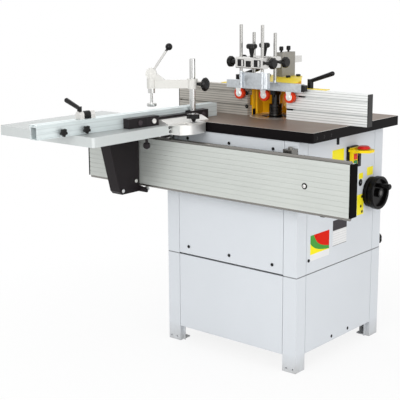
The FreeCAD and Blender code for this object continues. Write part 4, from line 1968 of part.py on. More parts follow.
def clamp_arm():
    """Cast arm with a boss on the column and a forked head for the lever."""
    boss = rod("z", CLAMP_BOSS_RADIUS, CLAMP_BOTTOM, CLAMP_TOP, 0, 0)
    head = rod("z", CLAMP_HEAD_RADIUS, CLAMP_HEAD_BOTTOM, CAM_Z, CLAMP_REACH, 0)
    eye = rod("y", CLAMP_EYE_RADIUS, -CLAMP_EYE_HALF, CLAMP_EYE_HALF, CLAMP_REACH, CAM_Z)
    beam_top = CLAMP_TOP - CLAMP_EDGE
    gusset = prism("y", [
        (CLAMP_REACH - CLAMP_EYE_RADIUS - CLAMP_GUSSET, beam_top),
        (CLAMP_REACH, beam_top),
        (CLAMP_REACH, CAM_Z),
        (CLAMP_REACH - CLAMP_EYE_RADIUS, CAM_Z),
    ], -CLAMP_BEAM_HALF, CLAMP_BEAM_HALF)
    beam = prism("z", [
        (0, -CLAMP_BEAM_HALF),
        (CLAMP_REACH, -CLAMP_BEAM_TIP_HALF),
        (CLAMP_REACH, CLAMP_BEAM_TIP_HALF),
        (0, CLAMP_BEAM_HALF),
    ], CLAMP_HEAD_BOTTOM, beam_top)
    fork_start = CLAMP_REACH - CLAMP_EYE_RADIUS - OVERRUN
    fork_end = CLAMP_REACH + CLAMP_EYE_RADIUS + OVERRUN
    bores = [
        rod("z", COLUMN_RADIUS + RUN_FIT, CLAMP_BOTTOM - OVERRUN, CLAMP_TOP + OVERRUN, 0, 0),
        rod("z", PLUNGER_RADIUS + RUN_FIT, CLAMP_HEAD_BOTTOM - OVERRUN, PLUNGER_TOP + OVERRUN, CLAMP_REACH,
            0),
        block(fork_start, fork_end, -CLAMP_FORK_HALF, CLAMP_FORK_HALF, CLAMP_FORK_BOTTOM,
              CAM_Z + CLAMP_EYE_RADIUS + OVERRUN),
    ]
    pin = rod("y", CAM_PIN_RADIUS, -CLAMP_EYE_HALF, CLAMP_EYE_HALF, CLAMP_REACH, CAM_Z)
    return [clamp_place(fused([cut_all(fused([boss, head, eye, gusset, beam]), bores), pin]))]


def clamp_lever():
    """Cam in the fork with a rod up to a ball."""
    cam = rod("y", CAM_RADIUS, -CAM_HALF, CAM_HALF, CLAMP_REACH, CAM_Z)
    pivot = V(CLAMP_REACH, 0, CAM_Z)
    span = V(-CLAMP_LEVER_BACK, 0, CLAMP_LEVER_UP)
    stick = Part.makeCylinder(CLAMP_LEVER_RADIUS, span.Length)
    stick = fused([stick, Part.makeSphere(CLAMP_BALL_RADIUS, Z_AXIS * span.Length)])
    bore = rod("y", CAM_PIN_RADIUS + RUN_FIT, -CAM_HALF - OVERRUN, CAM_HALF + OVERRUN, CLAMP_REACH, CAM_Z)
    return [clamp_place(fused([cam, aim(stick, pivot, span)]).cut(bore))]


def clamp_plunger():
    """Plunger through the arm's head, with a collar and a pad."""
    collar_top = CLAMP_HEAD_BOTTOM - FREE_GAP
    collar_low = collar_top - PLUNGER_COLLAR
    pad_top = PAD_BOTTOM + PAD_HEIGHT
    profile = [
        (0, PAD_BOTTOM),
        (PAD_RADIUS - PAD_EDGE, PAD_BOTTOM),
        (PAD_RADIUS, PAD_BOTTOM + PAD_EDGE),
        (PAD_RADIUS, pad_top - PAD_EDGE),
        (PAD_RADIUS - PAD_EDGE, pad_top),
        (PLUNGER_STEM_RADIUS, pad_top),
        (PLUNGER_STEM_RADIUS, collar_low),
        (PLUNGER_COLLAR_RADIUS, collar_low),
        (PLUNGER_COLLAR_RADIUS, collar_top),
        (PLUNGER_RADIUS, collar_top),
        (PLUNGER_RADIUS, PLUNGER_TOP),
        (0, PLUNGER_TOP),
    ]
    return [clamp_place(lathe(profile, V(CLAMP_REACH, 0, 0)))]


def clamp_knob():
    """Round knob that locks the arm on the column, turned a little towards the operator."""
    middle = (CLAMP_BOTTOM + CLAMP_TOP) / 2
    base = V(-CLAMP_BOSS_RADIUS - FREE_GAP, 0, middle)
    knob = round_knob(base, -X_AXIS, CLAMP_KNOB_RADIUS, CLAMP_KNOB_HEIGHT, STAR_NECK_RADIUS, CLAMP_KNOB_NECK)
    knob.rotate(V(0, 0, 0), Z_AXIS, CLAMP_KNOB_ANGLE)
    return [clamp_place(knob)]


PIECES = (
    corner_posts, side_panels, front_cover, panel_screws, rear_door, door_latch, table, table_insert,
    quill_carriage, spindle_bearings, spindle_shaft, spindle_rings, drive_belt, motor, motor_pulley,
    lift_guides, lift_screw, handwheel_shaft, handwheel_flange, handwheel, crank_grip,
    switch_box, start_button, stop_button, stop_flap,
    left_fence, right_fence, hood, hood_cover, hood_knobs, left_fence_lever, right_fence_lever,
    presser_bracket, presser_arm, rod_blocks, presser_knobs, front_presser, roller_presser,
    roller_left, roller_middle, roller_right,
    rail, rail_bars, rail_end_caps, rail_brackets, sliding_table, support_arm, guide_rollers,
    mitre_base, mitre_head, carrier_bar, mitre_fence, fence_knobs, mitre_knob, flip_stop,
    clamp_column, clamp_arm, clamp_lever, clamp_plunger, clamp_knob,
)


def main():
    """Write every piece to its own file."""
    os.makedirs("parts", exist_ok=True)
    for make in PIECES:
        solids = make()
        shape = solids[0] if len(solids) == 1 else Part.makeCompound(solids)
        shape.exportStep("parts/" + make.__name__ + ".step")


main()
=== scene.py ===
"""Looks of a spindle moulder: finishes for its pieces, small fittings and a plain stage."""
import math

import bmesh
import bpy
from bpy.props import FloatProperty, FloatVectorProperty, PointerProperty
from bpy.types import Operator, Panel, PropertyGroup
from mathutils import Euler, Matrix, Vector


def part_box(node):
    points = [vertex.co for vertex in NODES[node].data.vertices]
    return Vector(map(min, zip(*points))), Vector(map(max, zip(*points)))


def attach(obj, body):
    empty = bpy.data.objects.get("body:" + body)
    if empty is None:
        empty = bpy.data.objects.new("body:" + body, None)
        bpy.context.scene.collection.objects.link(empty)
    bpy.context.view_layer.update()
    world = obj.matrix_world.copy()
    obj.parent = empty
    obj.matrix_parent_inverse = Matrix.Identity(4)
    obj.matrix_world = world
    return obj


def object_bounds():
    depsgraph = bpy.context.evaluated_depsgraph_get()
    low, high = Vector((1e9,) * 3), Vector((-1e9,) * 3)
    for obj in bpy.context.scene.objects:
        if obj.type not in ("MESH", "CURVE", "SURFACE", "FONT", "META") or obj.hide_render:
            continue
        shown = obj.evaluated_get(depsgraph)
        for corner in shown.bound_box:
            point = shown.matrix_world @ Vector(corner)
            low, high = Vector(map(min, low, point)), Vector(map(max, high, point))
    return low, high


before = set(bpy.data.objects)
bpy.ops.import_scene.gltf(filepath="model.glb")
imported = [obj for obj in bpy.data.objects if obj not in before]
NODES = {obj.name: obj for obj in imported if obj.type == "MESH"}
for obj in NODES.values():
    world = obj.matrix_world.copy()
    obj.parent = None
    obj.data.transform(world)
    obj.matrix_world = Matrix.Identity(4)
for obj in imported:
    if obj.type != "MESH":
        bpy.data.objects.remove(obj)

bl_info = {
    "name": "Spindle moulder looks",
    "version": (1, 0, 0),
    "blender": (4, 5, 0),
    "location": "3D View > Sidebar > Moulder",
    "description": "Finishes, small fittings and a stage for a spindle moulder",
    "category": "Object",
}

MM = 0.001
CAD_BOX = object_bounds()

# Places on the machine, in metres
TABLE_LOW, TABLE_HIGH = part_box("table")
SIDE_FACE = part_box("side_panels")[1].x
ROLLER_LOW, ROLLER_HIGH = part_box("roller_right")
ROLLER_X = (ROLLER_LOW.x + ROLLER_HIGH.x) / 2
ROLLER_Z = (ROLLER_LOW.z + ROLLER_HIGH.z) / 2
SEAM_Z = 0.3528                   # joint between stand and cabinet
SEAM_SHADE_WIDTH = 0.0019               # to either side of the joint, a band of painted shade
DOOR_FACE = 0.2823                # outer face of the rear door
MOTOR_AXIS = (-0.165, 0.0)
INSERT_HIGHLIGHT_RADIUS = 0.0935               # radius where the painted highlight on the insert's rim begins
TABLE_SKIN = 0.0005               # depth to which the top counts as planed
TABLE_HIGHLIGHT_WIDTH = 0.0030               # width of the painted highlight along the edge
FENCE_CAPS_X = 0.4302             # where the end caps of both fences begin
HOOD_WINGS_X = 0.1                # where the hood's wings begin; they get the lit yellow
HOOD_WALL_X = -0.0876             # inner face of the hood's left wall
SHOE_RODS_Z = 1.0475              # where the rods leave the shoe
CHANNEL_RODS_Z = 1.0125           # where the rods leave the roller channel
LUGS_TOP_Z = 0.9745               # top of the lugs that hold the axles
MITRE_PIVOT = (-0.187, -0.353)
MITRE_SET = math.radians(4.8)     # how far the mitre fence is turned at rest
MITRE_FENCE_TOP = 0.9193          # above it, only the saddle
CARRIER_FACE_X = -0.1695          # side of the carrier, before the mitre's turn
CARRIER_BOLT_Y, CARRIER_BOLT_RADIUS = -0.478, 0.012
CARRIER_SEAM_Y, CARRIER_SEAM_WIDTH = -0.514, 0.0012
LEVER_ROD_Z, LEVER_BALL_Z = 1.0525, 1.1215
SWITCH_BASE = 0.0122              # depth of the switch's black base
FLAP_BUTTON_Z = 0.7712            # foot of the flap's mushroom
LOCK_Y, LOCK_LOW_Z, LOCK_HIGH_Z = 0.0605, 0.6995, 0.7560

# Opposite corners (Y, Z) of the plates on the right side and of the guards on the hood's left wall
CHART = ((-0.198, 0.398), (-0.079, 0.491))
RECORD = ((-0.055, 0.423), (0.037, 0.518))
BLANKS = {
    "switch_plate": ((-0.069, 0.731), (0.007, 0.777)),
    "wheel_plate": ((0.171, 0.650), (0.213, 0.682)),
    "lift_plate": ((0.114, 0.645), (0.143, 0.667)),
    "guide_plate": ((0.106, 0.508), (0.152, 0.586)),
}
HOOD_STRIP = ((-0.0280, 0.8935), (-0.0140, 0.9680))
# black block put where shade falls under the strip
HOOD_SHADE_BLOCK = ((-0.0280, 0.8706), (-0.0135, 0.8925))
HOOD_LIP = ((-0.0075, 0.8726), (0.0015, 0.9680))

# Fields of the plates
CHART_FOOT = 0.25                 # share of the chart's height that stays bare
CHART_BORDERS = (                 # field, and a, b and c of its border: (across + a) * (up + b) = c
    ("chart_good", 0.40, 0.162, 0.241),
    ("chart_stop", 0.10, 0.063, 0.224),
)
RECORD_HEAD = 0.480
RECORD_FOOT = 0.0018
ROW_PITCH, ROW_WIDTH = 0.0045, 0.0006

# Opposite corners (X, Z) of the window in the right rod block, and of the rod that shows in it
ROD_WINDOW = ((0.0230, 1.0650), (0.0510, 1.0900))
ROD_STRIP = ((0.0395, 1.0668), (0.0480, 1.0882))
OTHER_BLOCK = (-0.074, 0.0, 0.0)  # step to the left block

# Screws on the right: radius and height of the head, place (Y, Z) of the first and steps to the others
SIDE_SCREWS = ((2.4 * MM, 1.6 * MM), (-0.048, 0.078), [(0.111, 0.0)])
PLATE_SCREWS = ((2.6 * MM, 1.4 * MM), (0.139, 0.576), [(-0.006, -0.036), (0.003, -0.058)])
TABLE_SCREWS = ((3.2 * MM, 1.2 * MM), (-0.218, 0.851), [(0.043, 0.0), (-0.043, 0.0)])
SLIDE_SCREWS = ((3.2 * MM, 1.2 * MM), (-0.430, 0.8615), [(0.014, -0.007), (0.002, -0.015)])
BLANK_THICKNESS = 0.6 * MM

# Radius and height of other round heads
KEY_RING = (6.5 * MM, 3.0 * MM)
KEY_RING_PLACE = (0.127, 0.631)   # Y and Z
FENCE_SCREW = (2.8 * MM, 2.0 * MM)
RAIL_BOLT = (3.4 * MM, 1.8 * MM)
RAIL_WASHER = (9.6 * MM, 1.2 * MM)
SCREW_RIM, SCREW_WALL, SCREW_STEP = 0.16, 0.42, 0.04    # shares of the head's radius
SCREW_SOCKET = 0.55                                     # share of the head's height


# Values that a user would change

def colour(name, about, value):
    return FloatVectorProperty(name=name, description=about, subtype="COLOR", size=3, min=0.0, max=1.0,
                               default=value)


def length(name, about, value):
    return FloatProperty(name=name, description=about, unit="LENGTH", default=value)


def share(name, about, value):
    return FloatProperty(name=name, description=about, subtype="FACTOR", min=0.0, max=1.0, default=value)


def watts(name, about, value):
    return FloatProperty(name=name, description=about, unit="POWER", default=value)


class MOULDER_PG_cabinet(PropertyGroup):
    """Stand, doors and plates."""
    paint: colour("Cabinet paint", "Light grey powder coat", (0.66, 0.69, 0.725))
    screw: colour("Screw black", "Blackened panel screws", (0.014, 0.014, 0.015))
    soil_height: length("Soil height", "How far up the posts the floor's dust shows", 0.07)
    chart_stop: colour("Chart red", "Upper field of the speed chart", (0.70, 0.012, 0.001))
    chart_good: colour("Chart green", "Middle field of the speed chart", (0.07, 0.33, 0.05))
    chart_slow: colour("Chart yellow", "Lower field of the chart, and the blank plates", (0.95, 0.82, 0.02))
    plate_white: colour("Plate white", "Ground of the bare plates", (0.80, 0.80, 0.80))
    plate_dark: colour("Plate dark", "Head field of the bare plate", (0.035, 0.03, 0.035))


class MOULDER_PG_table(PropertyGroup):
    """Cast table, insert and spindle."""
    top: colour("Table top", "Planed iron with a trace of oil", (0.25, 0.195, 0.162))
    sides: colour("Table sides", "Black enamel round the casting", (0.005, 0.004, 0.0045))
    insert: colour("Insert ring", "Turned steel ring", (0.55, 0.53, 0.49))
    spindle: colour("Spindle black", "Blackened arbor, rings and nut", (0.003, 0.0025, 0.0025))


class MOULDER_PG_fence(PropertyGroup):
    """Hood, fences and pressers."""
    aluminium: colour("Fence aluminium", "Drawn bar of the right fence", (0.88, 0.90, 0.89))
    # a darker, warmer copy of the fence aluminium: painted shade and reflection of the table and hood on the
    # left fence
    left_fence_shaded: colour("Aged aluminium", "Drawn bar of the left fence", (0.51, 0.485, 0.44))
    reed: length("Reed pitch", "Distance between the fine lines along the fences", 0.009)
    # hood is a shaded copy of the cover's yellow, deeper orange as painted shade and light thrown back inside
    # the hood; cover is also the lit copy, painted on the hood's upward faces and wings
    hood: colour("Hood yellow", "Powder coat of the hood", (0.96, 0.47, 0.006))
    cover: colour("Cover yellow", "Powder coat of the hood's cover", (1.0, 0.77, 0.05))
    bracket: colour("Bracket grey", "Paint of the presser's bracket", (0.30, 0.29, 0.265))
    galvanised: colour("Galvanised sheet", "Shoe and roller channel", (0.62, 0.65, 0.68))
    rod: colour("Rod steel", "Ground rods of the pressers", (0.40, 0.395, 0.38))
    roller: colour("Roller red", "Soft tyre of the rollers", (0.70, 0.042, 0.008))
    hub: colour("Roller hub", "Pale hub of the rollers", (0.94, 0.93, 0.91))
    hub_radius: length("Hub radius", "Where the roller's tyre begins", 0.0132)


class MOULDER_PG_slide(PropertyGroup):
    """Rail, sliding table, mitre fence and clamp."""
    rail: colour("Rail aluminium", "Drawn front rail", (0.59, 0.615, 0.585))
    table: colour("Sliding table", "Cast and milled top", (0.60, 0.63, 0.625))
    fence: colour("Mitre fence", "Drawn bar of the mitre fence", (0.65, 0.71, 0.715))
    black: colour("Black paint", "Support arm and carrier bar", (0.014, 0.011, 0.0125))
    clamp: colour("Clamp white", "Paint of the clamp's arm", (0.70, 0.69, 0.655))


class MOULDER_PG_control(PropertyGroup):
    """Switch, wheel and knobs."""
    plastic: colour("Black plastic", "Knobs, levers and the wheel", (0.0035, 0.003, 0.003))
    housing: colour("Switch yellow", "Switch housing and flap", (0.90, 0.66, 0.006))
    stop: colour("Stop red", "Stop button and mushroom", (0.62, 0.018, 0.012))
    start: colour("Start green", "Start button", (0.008, 0.20, 0.06))


class MOULDER_PG_stage(PropertyGroup):
    """Floor, light and camera."""
    floor: colour("Floor", "Pale floor", (0.90, 0.90, 0.90))
    sky: share("Sky", "Strength of the even light from all round", 0.62)
    key: watts("Key lamp", "Large soft lamp near the camera", 73.0)
    top: watts("Top lamp", "Soft lamp overhead", 5.0)
    side: watts("Side lamp", "Soft lamp on the right", 40.0)
    back: watts("Back lamp", "Soft lamp behind on the left", 16.0)
    lens: length("Focal length", "Of the camera, for a 36 mm wide picture", 0.08973)


class MOULDER_PG_looks(PropertyGroup):
    """All values of the looks."""
    cabinet: PointerProperty(type=MOULDER_PG_cabinet)
    table: PointerProperty(type=MOULDER_PG_table)
    fence: PointerProperty(type=MOULDER_PG_fence)
    slide: PointerProperty(type=MOULDER_PG_slide)
    control: PointerProperty(type=MOULDER_PG_control)
    stage: PointerProperty(type=MOULDER_PG_stage)


# Node helpers

def add(tree, kind, values=None, links=None):
    """A node with its settings and sockets filled, and wires from other nodes."""
    node = tree.nodes.new(kind)
    for key, value in (values or {}).items():
        if isinstance(key, int) or key in node.inputs:
            node.inputs[key].default_value = value
        else:
            setattr(node, key, value)
    for key, source in (links or {}).items():
        tree.links.new(source, node.inputs[key])
    return node


def plug(tree, socket, value):
    """A wire or a constant into a socket."""
    if isinstance(value, bpy.types.NodeSocket):
        tree.links.new(value, socket)
    elif socket.type == "RGBA":
        socket.default_value = (*value, 1.0)
    else:
        socket.default_value = value


def calc(tree, operation, *terms):
    node = add(tree, "ShaderNodeMath", {"operation": operation})
    for socket, term in zip(node.inputs, terms):
        plug(tree, socket, term)
    return node.outputs[0]


def over(tree, value, limit):
    return calc(tree, "GREATER_THAN", value, limit)


def under(tree, value, limit):
    return calc(tree, "LESS_THAN", value, limit)


def near(tree, value, place, width):
    return under(tree, calc(tree, "ABSOLUTE", calc(tree, "SUBTRACT", value, place)), width)


def overlap(tree, mask, *others):
    for other in others:
        mask = calc(tree, "MULTIPLY", mask, other)
    return mask


def reach_of(tree, x, y):
    """Distance from the middle of a plane."""
    return calc(tree, "SQRT", calc(tree, "ADD", calc(tree, "MULTIPLY", x, x), calc(tree, "MULTIPLY", y, y)))


def ramp(tree, value, start, end, low=0.0, high=1.0, clamp=True):
    """Goes from low to high while the value goes from start to end."""
    node = add(tree, "ShaderNodeMapRange", {"From Min": start, "To Min": low, "To Max": high, "clamp": clamp},
               {"Value": value})
    plug(tree, node.inputs["From Max"], end)
    return node.outputs[0]


def blend_colours(tree, mask, ground, patch):
    node = add(tree, "ShaderNodeMix", {"data_type": "RGBA"})
    plug(tree, node.inputs[0], mask)
    plug(tree, node.inputs[6], ground)
    plug(tree, node.inputs[7], patch)
    return node.outputs[2]


def shade(tree, tone, factor):
    node = add(tree, "ShaderNodeVectorMath", {"operation": "SCALE"})
    plug(tree, node.inputs[0], tone)
    plug(tree, node.inputs[3], factor)
    return node.outputs[0]


def shade_where(tree, tone, mask, change):
    """Makes a colour darker or lighter by a share of itself, within the mask."""
    return shade(tree, tone, calc(tree, "MULTIPLY_ADD", mask, change, 1.0))


def place_of(tree):
    return add(tree, "ShaderNodeTexCoord").outputs["Object"]


def axes_of(tree, vector=None):
    return add(tree, "ShaderNodeSeparateXYZ", links={0: vector or place_of(tree)}).outputs


def noise(tree, vector, scale, detail, roughness=0.5):
    node = add(tree, "ShaderNodeTexNoise", {"Detail": detail, "Roughness": roughness}, {"Vector": vector})
    plug(tree, node.inputs["Scale"], scale)
    return node.outputs[0]


def swing(tree, value, amount):
    """Turns a noise round one half into a factor round one."""
    wide = calc(tree, "MULTIPLY_ADD", value, 2.0, -1.0)
    return calc(tree, "MULTIPLY_ADD", wide, amount, 1.0)


def vary(tree, value, pattern, amount):
    """A value that a noise makes larger and smaller over the surface."""
    return calc(tree, "MULTIPLY", value, swing(tree, pattern, amount))


# Effects that several finishes share, each a node group

def send(tree, out, **results):
    """Wires results to a group's outputs."""
    for title, source in results.items():
        tree.links.new(source, out[title])


def fill_powder_coat(tree, given, out):
    place = place_of(tree)
    cloud = noise(tree, place, scale=4.0, detail=4.0)
    peel = noise(tree, place, scale=given["Grain"], detail=2.0)
    tone = vary(tree, swing(tree, cloud, given["Mottle"]), peel, 0.02)
    send(tree, out, Colour=shade(tree, given["Colour"], tone),
         Roughness=vary(tree, given["Roughness"], cloud, 0.18), Height=peel)


def fill_drawn_metal(tree, given, out):
    place = place_of(tree)
    run = add(tree, "ShaderNodeVectorMath", {"operation": "MULTIPLY"}, {0: place, 1: given["Run"]}).outputs[0]
    lines = noise(tree, run, scale=1.0, detail=5.0, roughness=0.62)
    cloud = noise(tree, place, scale=7.0, detail=3.0)
    tone = vary(tree, swing(tree, lines, given["Contrast"]), cloud, 0.04)
    send(tree, out, Colour=shade(tree, given["Colour"], tone),
         Roughness=vary(tree, given["Roughness"], lines, 0.35), Height=lines)


def fill_moulded_skin(tree, given, out):
    place = place_of(tree)
    cloud = noise(tree, place, scale=18.0, detail=3.0)
    pebble = noise(tree, place, scale=given["Grain"], detail=3.0)
    rubbed = ramp(tree, cloud, 0.58, 0.75)
    send(tree, out, Colour=shade_where(tree, given["Colour"], rubbed, given["Rub"]),
         Roughness=vary(tree, given["Roughness"], cloud, 0.3), Height=pebble)


def fill_turned_rings(tree, given, out):
    axes = axes_of(tree)
    x = calc(tree, "SUBTRACT", axes[0], given["Middle X"])
    y = calc(tree, "SUBTRACT", axes[1], given["Middle Y"])
    band = add(tree, "ShaderNodeCombineXYZ", links={0: reach_of(tree, x, y), 1: axes[2]}).outputs[0]
    lines = noise(tree, band, scale=620.0, detail=4.0, roughness=0.6)
    send(tree, out, Colour=shade(tree, given["Colour"], swing(tree, lines, given["Contrast"])),
         Roughness=vary(tree, given["Roughness"], lines, 0.4), Height=lines)


def fill_floor_soil(tree, given, out):
    place = place_of(tree)
    fade = ramp(tree, axes_of(tree, place)[2], 0.0, given["Height"], low=1.0, high=0.0)
    patch = noise(tree, place, scale=26.0, detail=5.0)
    mask = overlap(tree, fade, patch, given["Amount"])
    send(tree, out, Colour=blend_colours(tree, mask, given["Colour"], given["Soil"]))


def fill_reed_shading(tree, given, out):
    z = calc(tree, "SUBTRACT", axes_of(tree)[2], given["Start"])
    fold = calc(tree, "PINGPONG", z, calc(tree, "MULTIPLY", given["Pitch"], 0.5))
    # painted shade and highlight: dark lines stand for the shade in fine grooves, and the bands between them
    # are lifted as a painted highlight
    line = ramp(tree, fold, 0.0004, 0.0016, low=1.0, high=0.0)
    shine = ramp(tree, fold, 0.0016, 0.0030)
    dark = calc(tree, "MULTIPLY", line, given["Depth"])
    tone = calc(tree, "SUBTRACT", calc(tree, "MULTIPLY_ADD", shine, 0.05, 0.97), dark)
    send(tree, out, Colour=shade(tree, given["Colour"], tone))


COLOUR, NUMBER, VECTOR = "NodeSocketColor", "NodeSocketFloat", "NodeSocketVector"
TONE = [("Colour", COLOUR)]
SURFACE = TONE + [("Roughness", NUMBER), ("Height", NUMBER)]
GROUND = ("Colour", COLOUR, (0.5, 0.5, 0.5, 1.0))
EFFECTS = {
    "powder_coat": (fill_powder_coat, SURFACE, [
        GROUND, ("Mottle", NUMBER, 0.03), ("Grain", NUMBER, 420.0), ("Roughness", NUMBER, 0.45)]),
    "drawn_metal": (fill_drawn_metal, SURFACE, [
        GROUND, ("Run", VECTOR, (4.0, 300.0, 300.0)), ("Contrast", NUMBER, 0.12), ("Roughness", NUMBER, 0.4)]),
    "moulded_skin": (fill_moulded_skin, SURFACE, [
        GROUND, ("Grain", NUMBER, 900.0), ("Rub", NUMBER, 0.5), ("Roughness", NUMBER, 0.35)]),
    "turned_rings": (fill_turned_rings, SURFACE, [
        GROUND, ("Middle X", NUMBER, 0.0), ("Middle Y", NUMBER, 0.0), ("Contrast", NUMBER, 0.12),
        ("Roughness", NUMBER, 0.3)]),
    "floor_soil": (fill_floor_soil, TONE, [
        GROUND, ("Soil", COLOUR, (0.25, 0.22, 0.18, 1.0)), ("Height", NUMBER, 0.07), ("Amount", NUMBER, 0.7)]),
    "reeding": (fill_reed_shading, TONE, [
        GROUND, ("Start", NUMBER, 0.87), ("Pitch", NUMBER, 0.009), ("Depth", NUMBER, 0.25)]),
}


def effect(tree, name, values):
    """Places a shared node group, which is built when the first finish asks for it."""
    group = bpy.data.node_groups.get(name)
    if group is None:
        fill, outputs, inputs = EFFECTS[name]
        group = bpy.data.node_groups.new(name, "ShaderNodeTree")
        for title, kind, value in inputs:
            group.interface.new_socket(name=title, in_out="INPUT", socket_type=kind).default_value = value
        for title, kind in outputs:
            group.interface.new_socket(name=title, in_out="OUTPUT", socket_type=kind)
        fill(group, group.nodes.new("NodeGroupInput").outputs, group.nodes.new("NodeGroupOutput").inputs)
    node = add(tree, "ShaderNodeGroup", {"node_tree": group})
    for key, value in values.items():
        plug(tree, node.inputs[key], value)
    return node.outputs


# Finishes

COAT_RELIEF, FINE_RELIEF, PRINT_RELIEF = 0.0004, 0.0003, 0.0002


def new_finish(name, metallic=0.0, specular=0.5):
    finish = bpy.data.materials.new(name)
    finish.use_nodes = True
    shader = finish.node_tree.nodes["Principled BSDF"]
    shader.inputs["Metallic"].default_value = metallic
    shader.inputs["Specular IOR Level"].default_value = specular
    return finish, finish.node_tree, shader


def emboss(tree, shader, height, strength, distance):
    bump = add(tree, "ShaderNodeBump", {"Strength": strength, "Distance": distance}, {"Height": height})
    tree.links.new(bump.outputs[0], shader.inputs["Normal"])


def dress(tree, shader, surface, strength, distance, tone=None):
    """Wires an effect's colour, or another one, its roughness and its relief into the shader."""
    tree.links.new(tone or surface["Colour"], shader.inputs["Base Color"])
    tree.links.new(surface["Roughness"], shader.inputs["Roughness"])
    emboss(tree, shader, surface["Height"], strength, distance)


def painted(name, tone, roughness=0.42, mottle=0.03, grain=420.0, strength=0.12, soil=0.0, specular=0.5):
    """Powder coat; with a soil height, also dust near the floor and painted shade along the joint under the
    cabinet.
    """
    finish, tree, shader = new_finish(name, specular=specular)
    surface = effect(tree, "powder_coat", {"Colour": tone, "Mottle": mottle, "Grain": grain,
                                           "Roughness": roughness})
    shown = surface["Colour"]
    if soil:
        shown = effect(tree, "floor_soil", {"Colour": shown, "Height": soil})["Colour"]
        # painted shade: a band along the joint between stand and cabinet is darkened, as the shade in the gap
        # between them
        seam = near(tree, axes_of(tree)[2], SEAM_Z, SEAM_SHADE_WIDTH)
        shown = shade_where(tree, shown, seam, -0.62)
    dress(tree, shader, surface, strength, COAT_RELIEF, shown)
    return finish


def drawn(name, tone, run, contrast=0.10, roughness=0.4, metallic=0.85, strength=0.10):
    finish, tree, shader = new_finish(name, metallic)
    surface = effect(tree, "drawn_metal", {"Colour": tone, "Run": run, "Contrast": contrast,
                                           "Roughness": roughness})
    dress(tree, shader, surface, strength, FINE_RELIEF)
    return finish


def moulded(name, tone, roughness=0.32, grain=900.0, rub=0.5, strength=0.10, specular=0.10):
    finish, tree, shader = new_finish(name, specular=specular)
    surface = effect(tree, "moulded_skin", {"Colour": tone, "Grain": grain, "Rub": rub, "Roughness": roughness})
    dress(tree, shader, surface, strength, FINE_RELIEF)
    return finish


def turned(name, tone, middle=(0.0, 0.0), contrast=0.12, roughness=0.3, metallic=1.0, strength=0.12):
    finish, tree, shader = new_finish(name, metallic)
    surface = effect(tree, "turned_rings", {"Colour": tone, "Middle X": middle[0], "Middle Y": middle[1],
                                            "Contrast": contrast, "Roughness": roughness})
    dress(tree, shader, surface, strength, FINE_RELIEF)
    return finish


def split_plastic(name, ground, patches):
    """Moulded plastic in several colours, each kept to its own part of the piece."""
    finish, tree, shader = new_finish(name, specular=0.25)
    axes = axes_of(tree)
    tone = ground
    for mask_of, patch in patches:
        tone = blend_colours(tree, mask_of(tree, axes), tone, patch)
    surface = effect(tree, "moulded_skin", {"Colour": tone, "Grain": 700.0, "Rub": 0.25, "Roughness": 0.34})
    dress(tree, shader, surface, 0.08, FINE_RELIEF)
    return finish


def above(axis, limit):
    return lambda tree, axes: over(tree, axes[axis], limit)


def below(axis, limit):
    return lambda tree, axes: under(tree, axes[axis], limit)


def beyond(axis, limit):
    return lambda tree, axes: over(tree, calc(tree, "ABSOLUTE", axes[axis]), limit)


def lock_tab(tree, axes):
    """The black field on the switch beside the buttons, with its tab, below the flap's lugs."""
    return overlap(tree, over(tree, axes[1], LOCK_Y), over(tree, axes[2], LOCK_LOW_Z),
                   under(tree, axes[2], LOCK_HIGH_Z))


def table_edge_highlight(tree, axes):
    """One along the table's outer edges, where a pale line is painted as a highlight."""
    nearest = None
    for axis in (0, 1):
        for sign, limit in ((1.0, TABLE_HIGH[axis]), (-1.0, TABLE_LOW[axis])):
            gap = calc(tree, "MULTIPLY", calc(tree, "SUBTRACT", limit, axes[axis]), sign)
            nearest = gap if nearest is None else calc(tree, "MINIMUM", nearest, gap)
    return under(tree, nearest, TABLE_HIGHLIGHT_WIDTH)


def facing_up(tree):
    return over(tree, axes_of(tree, add(tree, "ShaderNodeNewGeometry").outputs["Normal"])[2], 0.5)


def table_finish(looks):
    """Planed top with oil clouds and a painted highlight along its edge, black enamel elsewhere."""
    finish, tree, shader = new_finish("table_iron", specular=0.05)
    axes = axes_of(tree)
    top = overlap(tree, over(tree, axes[2], TABLE_HIGH.z - TABLE_SKIN), facing_up(tree))
    planed = effect(tree, "drawn_metal", {"Colour": looks.top, "Run": (5.0, 260.0, 1.0), "Contrast": 0.10,
                                          "Roughness": 0.40})
    enamel = effect(tree, "powder_coat", {"Colour": looks.sides, "Mottle": 0.15, "Grain": 260.0,
                                          "Roughness": 0.40})
    cloud = noise(tree, place_of(tree), scale=3.2, detail=5.0, roughness=0.6)
    oiled = shade(tree, planed["Colour"], swing(tree, cloud, 0.16))
    # painted highlight: a pale line along the top's outer edges
    highlit_edge = blend_colours(tree, table_edge_highlight(tree, axes), oiled, (0.92, 0.90, 0.87))
    tree.links.new(blend_colours(tree, top, enamel["Colour"], highlit_edge), shader.inputs["Base Color"])
    rough = add(tree, "ShaderNodeMix", {"data_type": "FLOAT"},
                {0: top, 2: enamel["Roughness"], 3: planed["Roughness"]})
    tree.links.new(rough.outputs[0], shader.inputs["Roughness"])
    tree.links.new(calc(tree, "MULTIPLY", top, 0.45), shader.inputs["Metallic"])
    emboss(tree, shader, enamel["Height"], 0.10, COAT_RELIEF)
    return finish


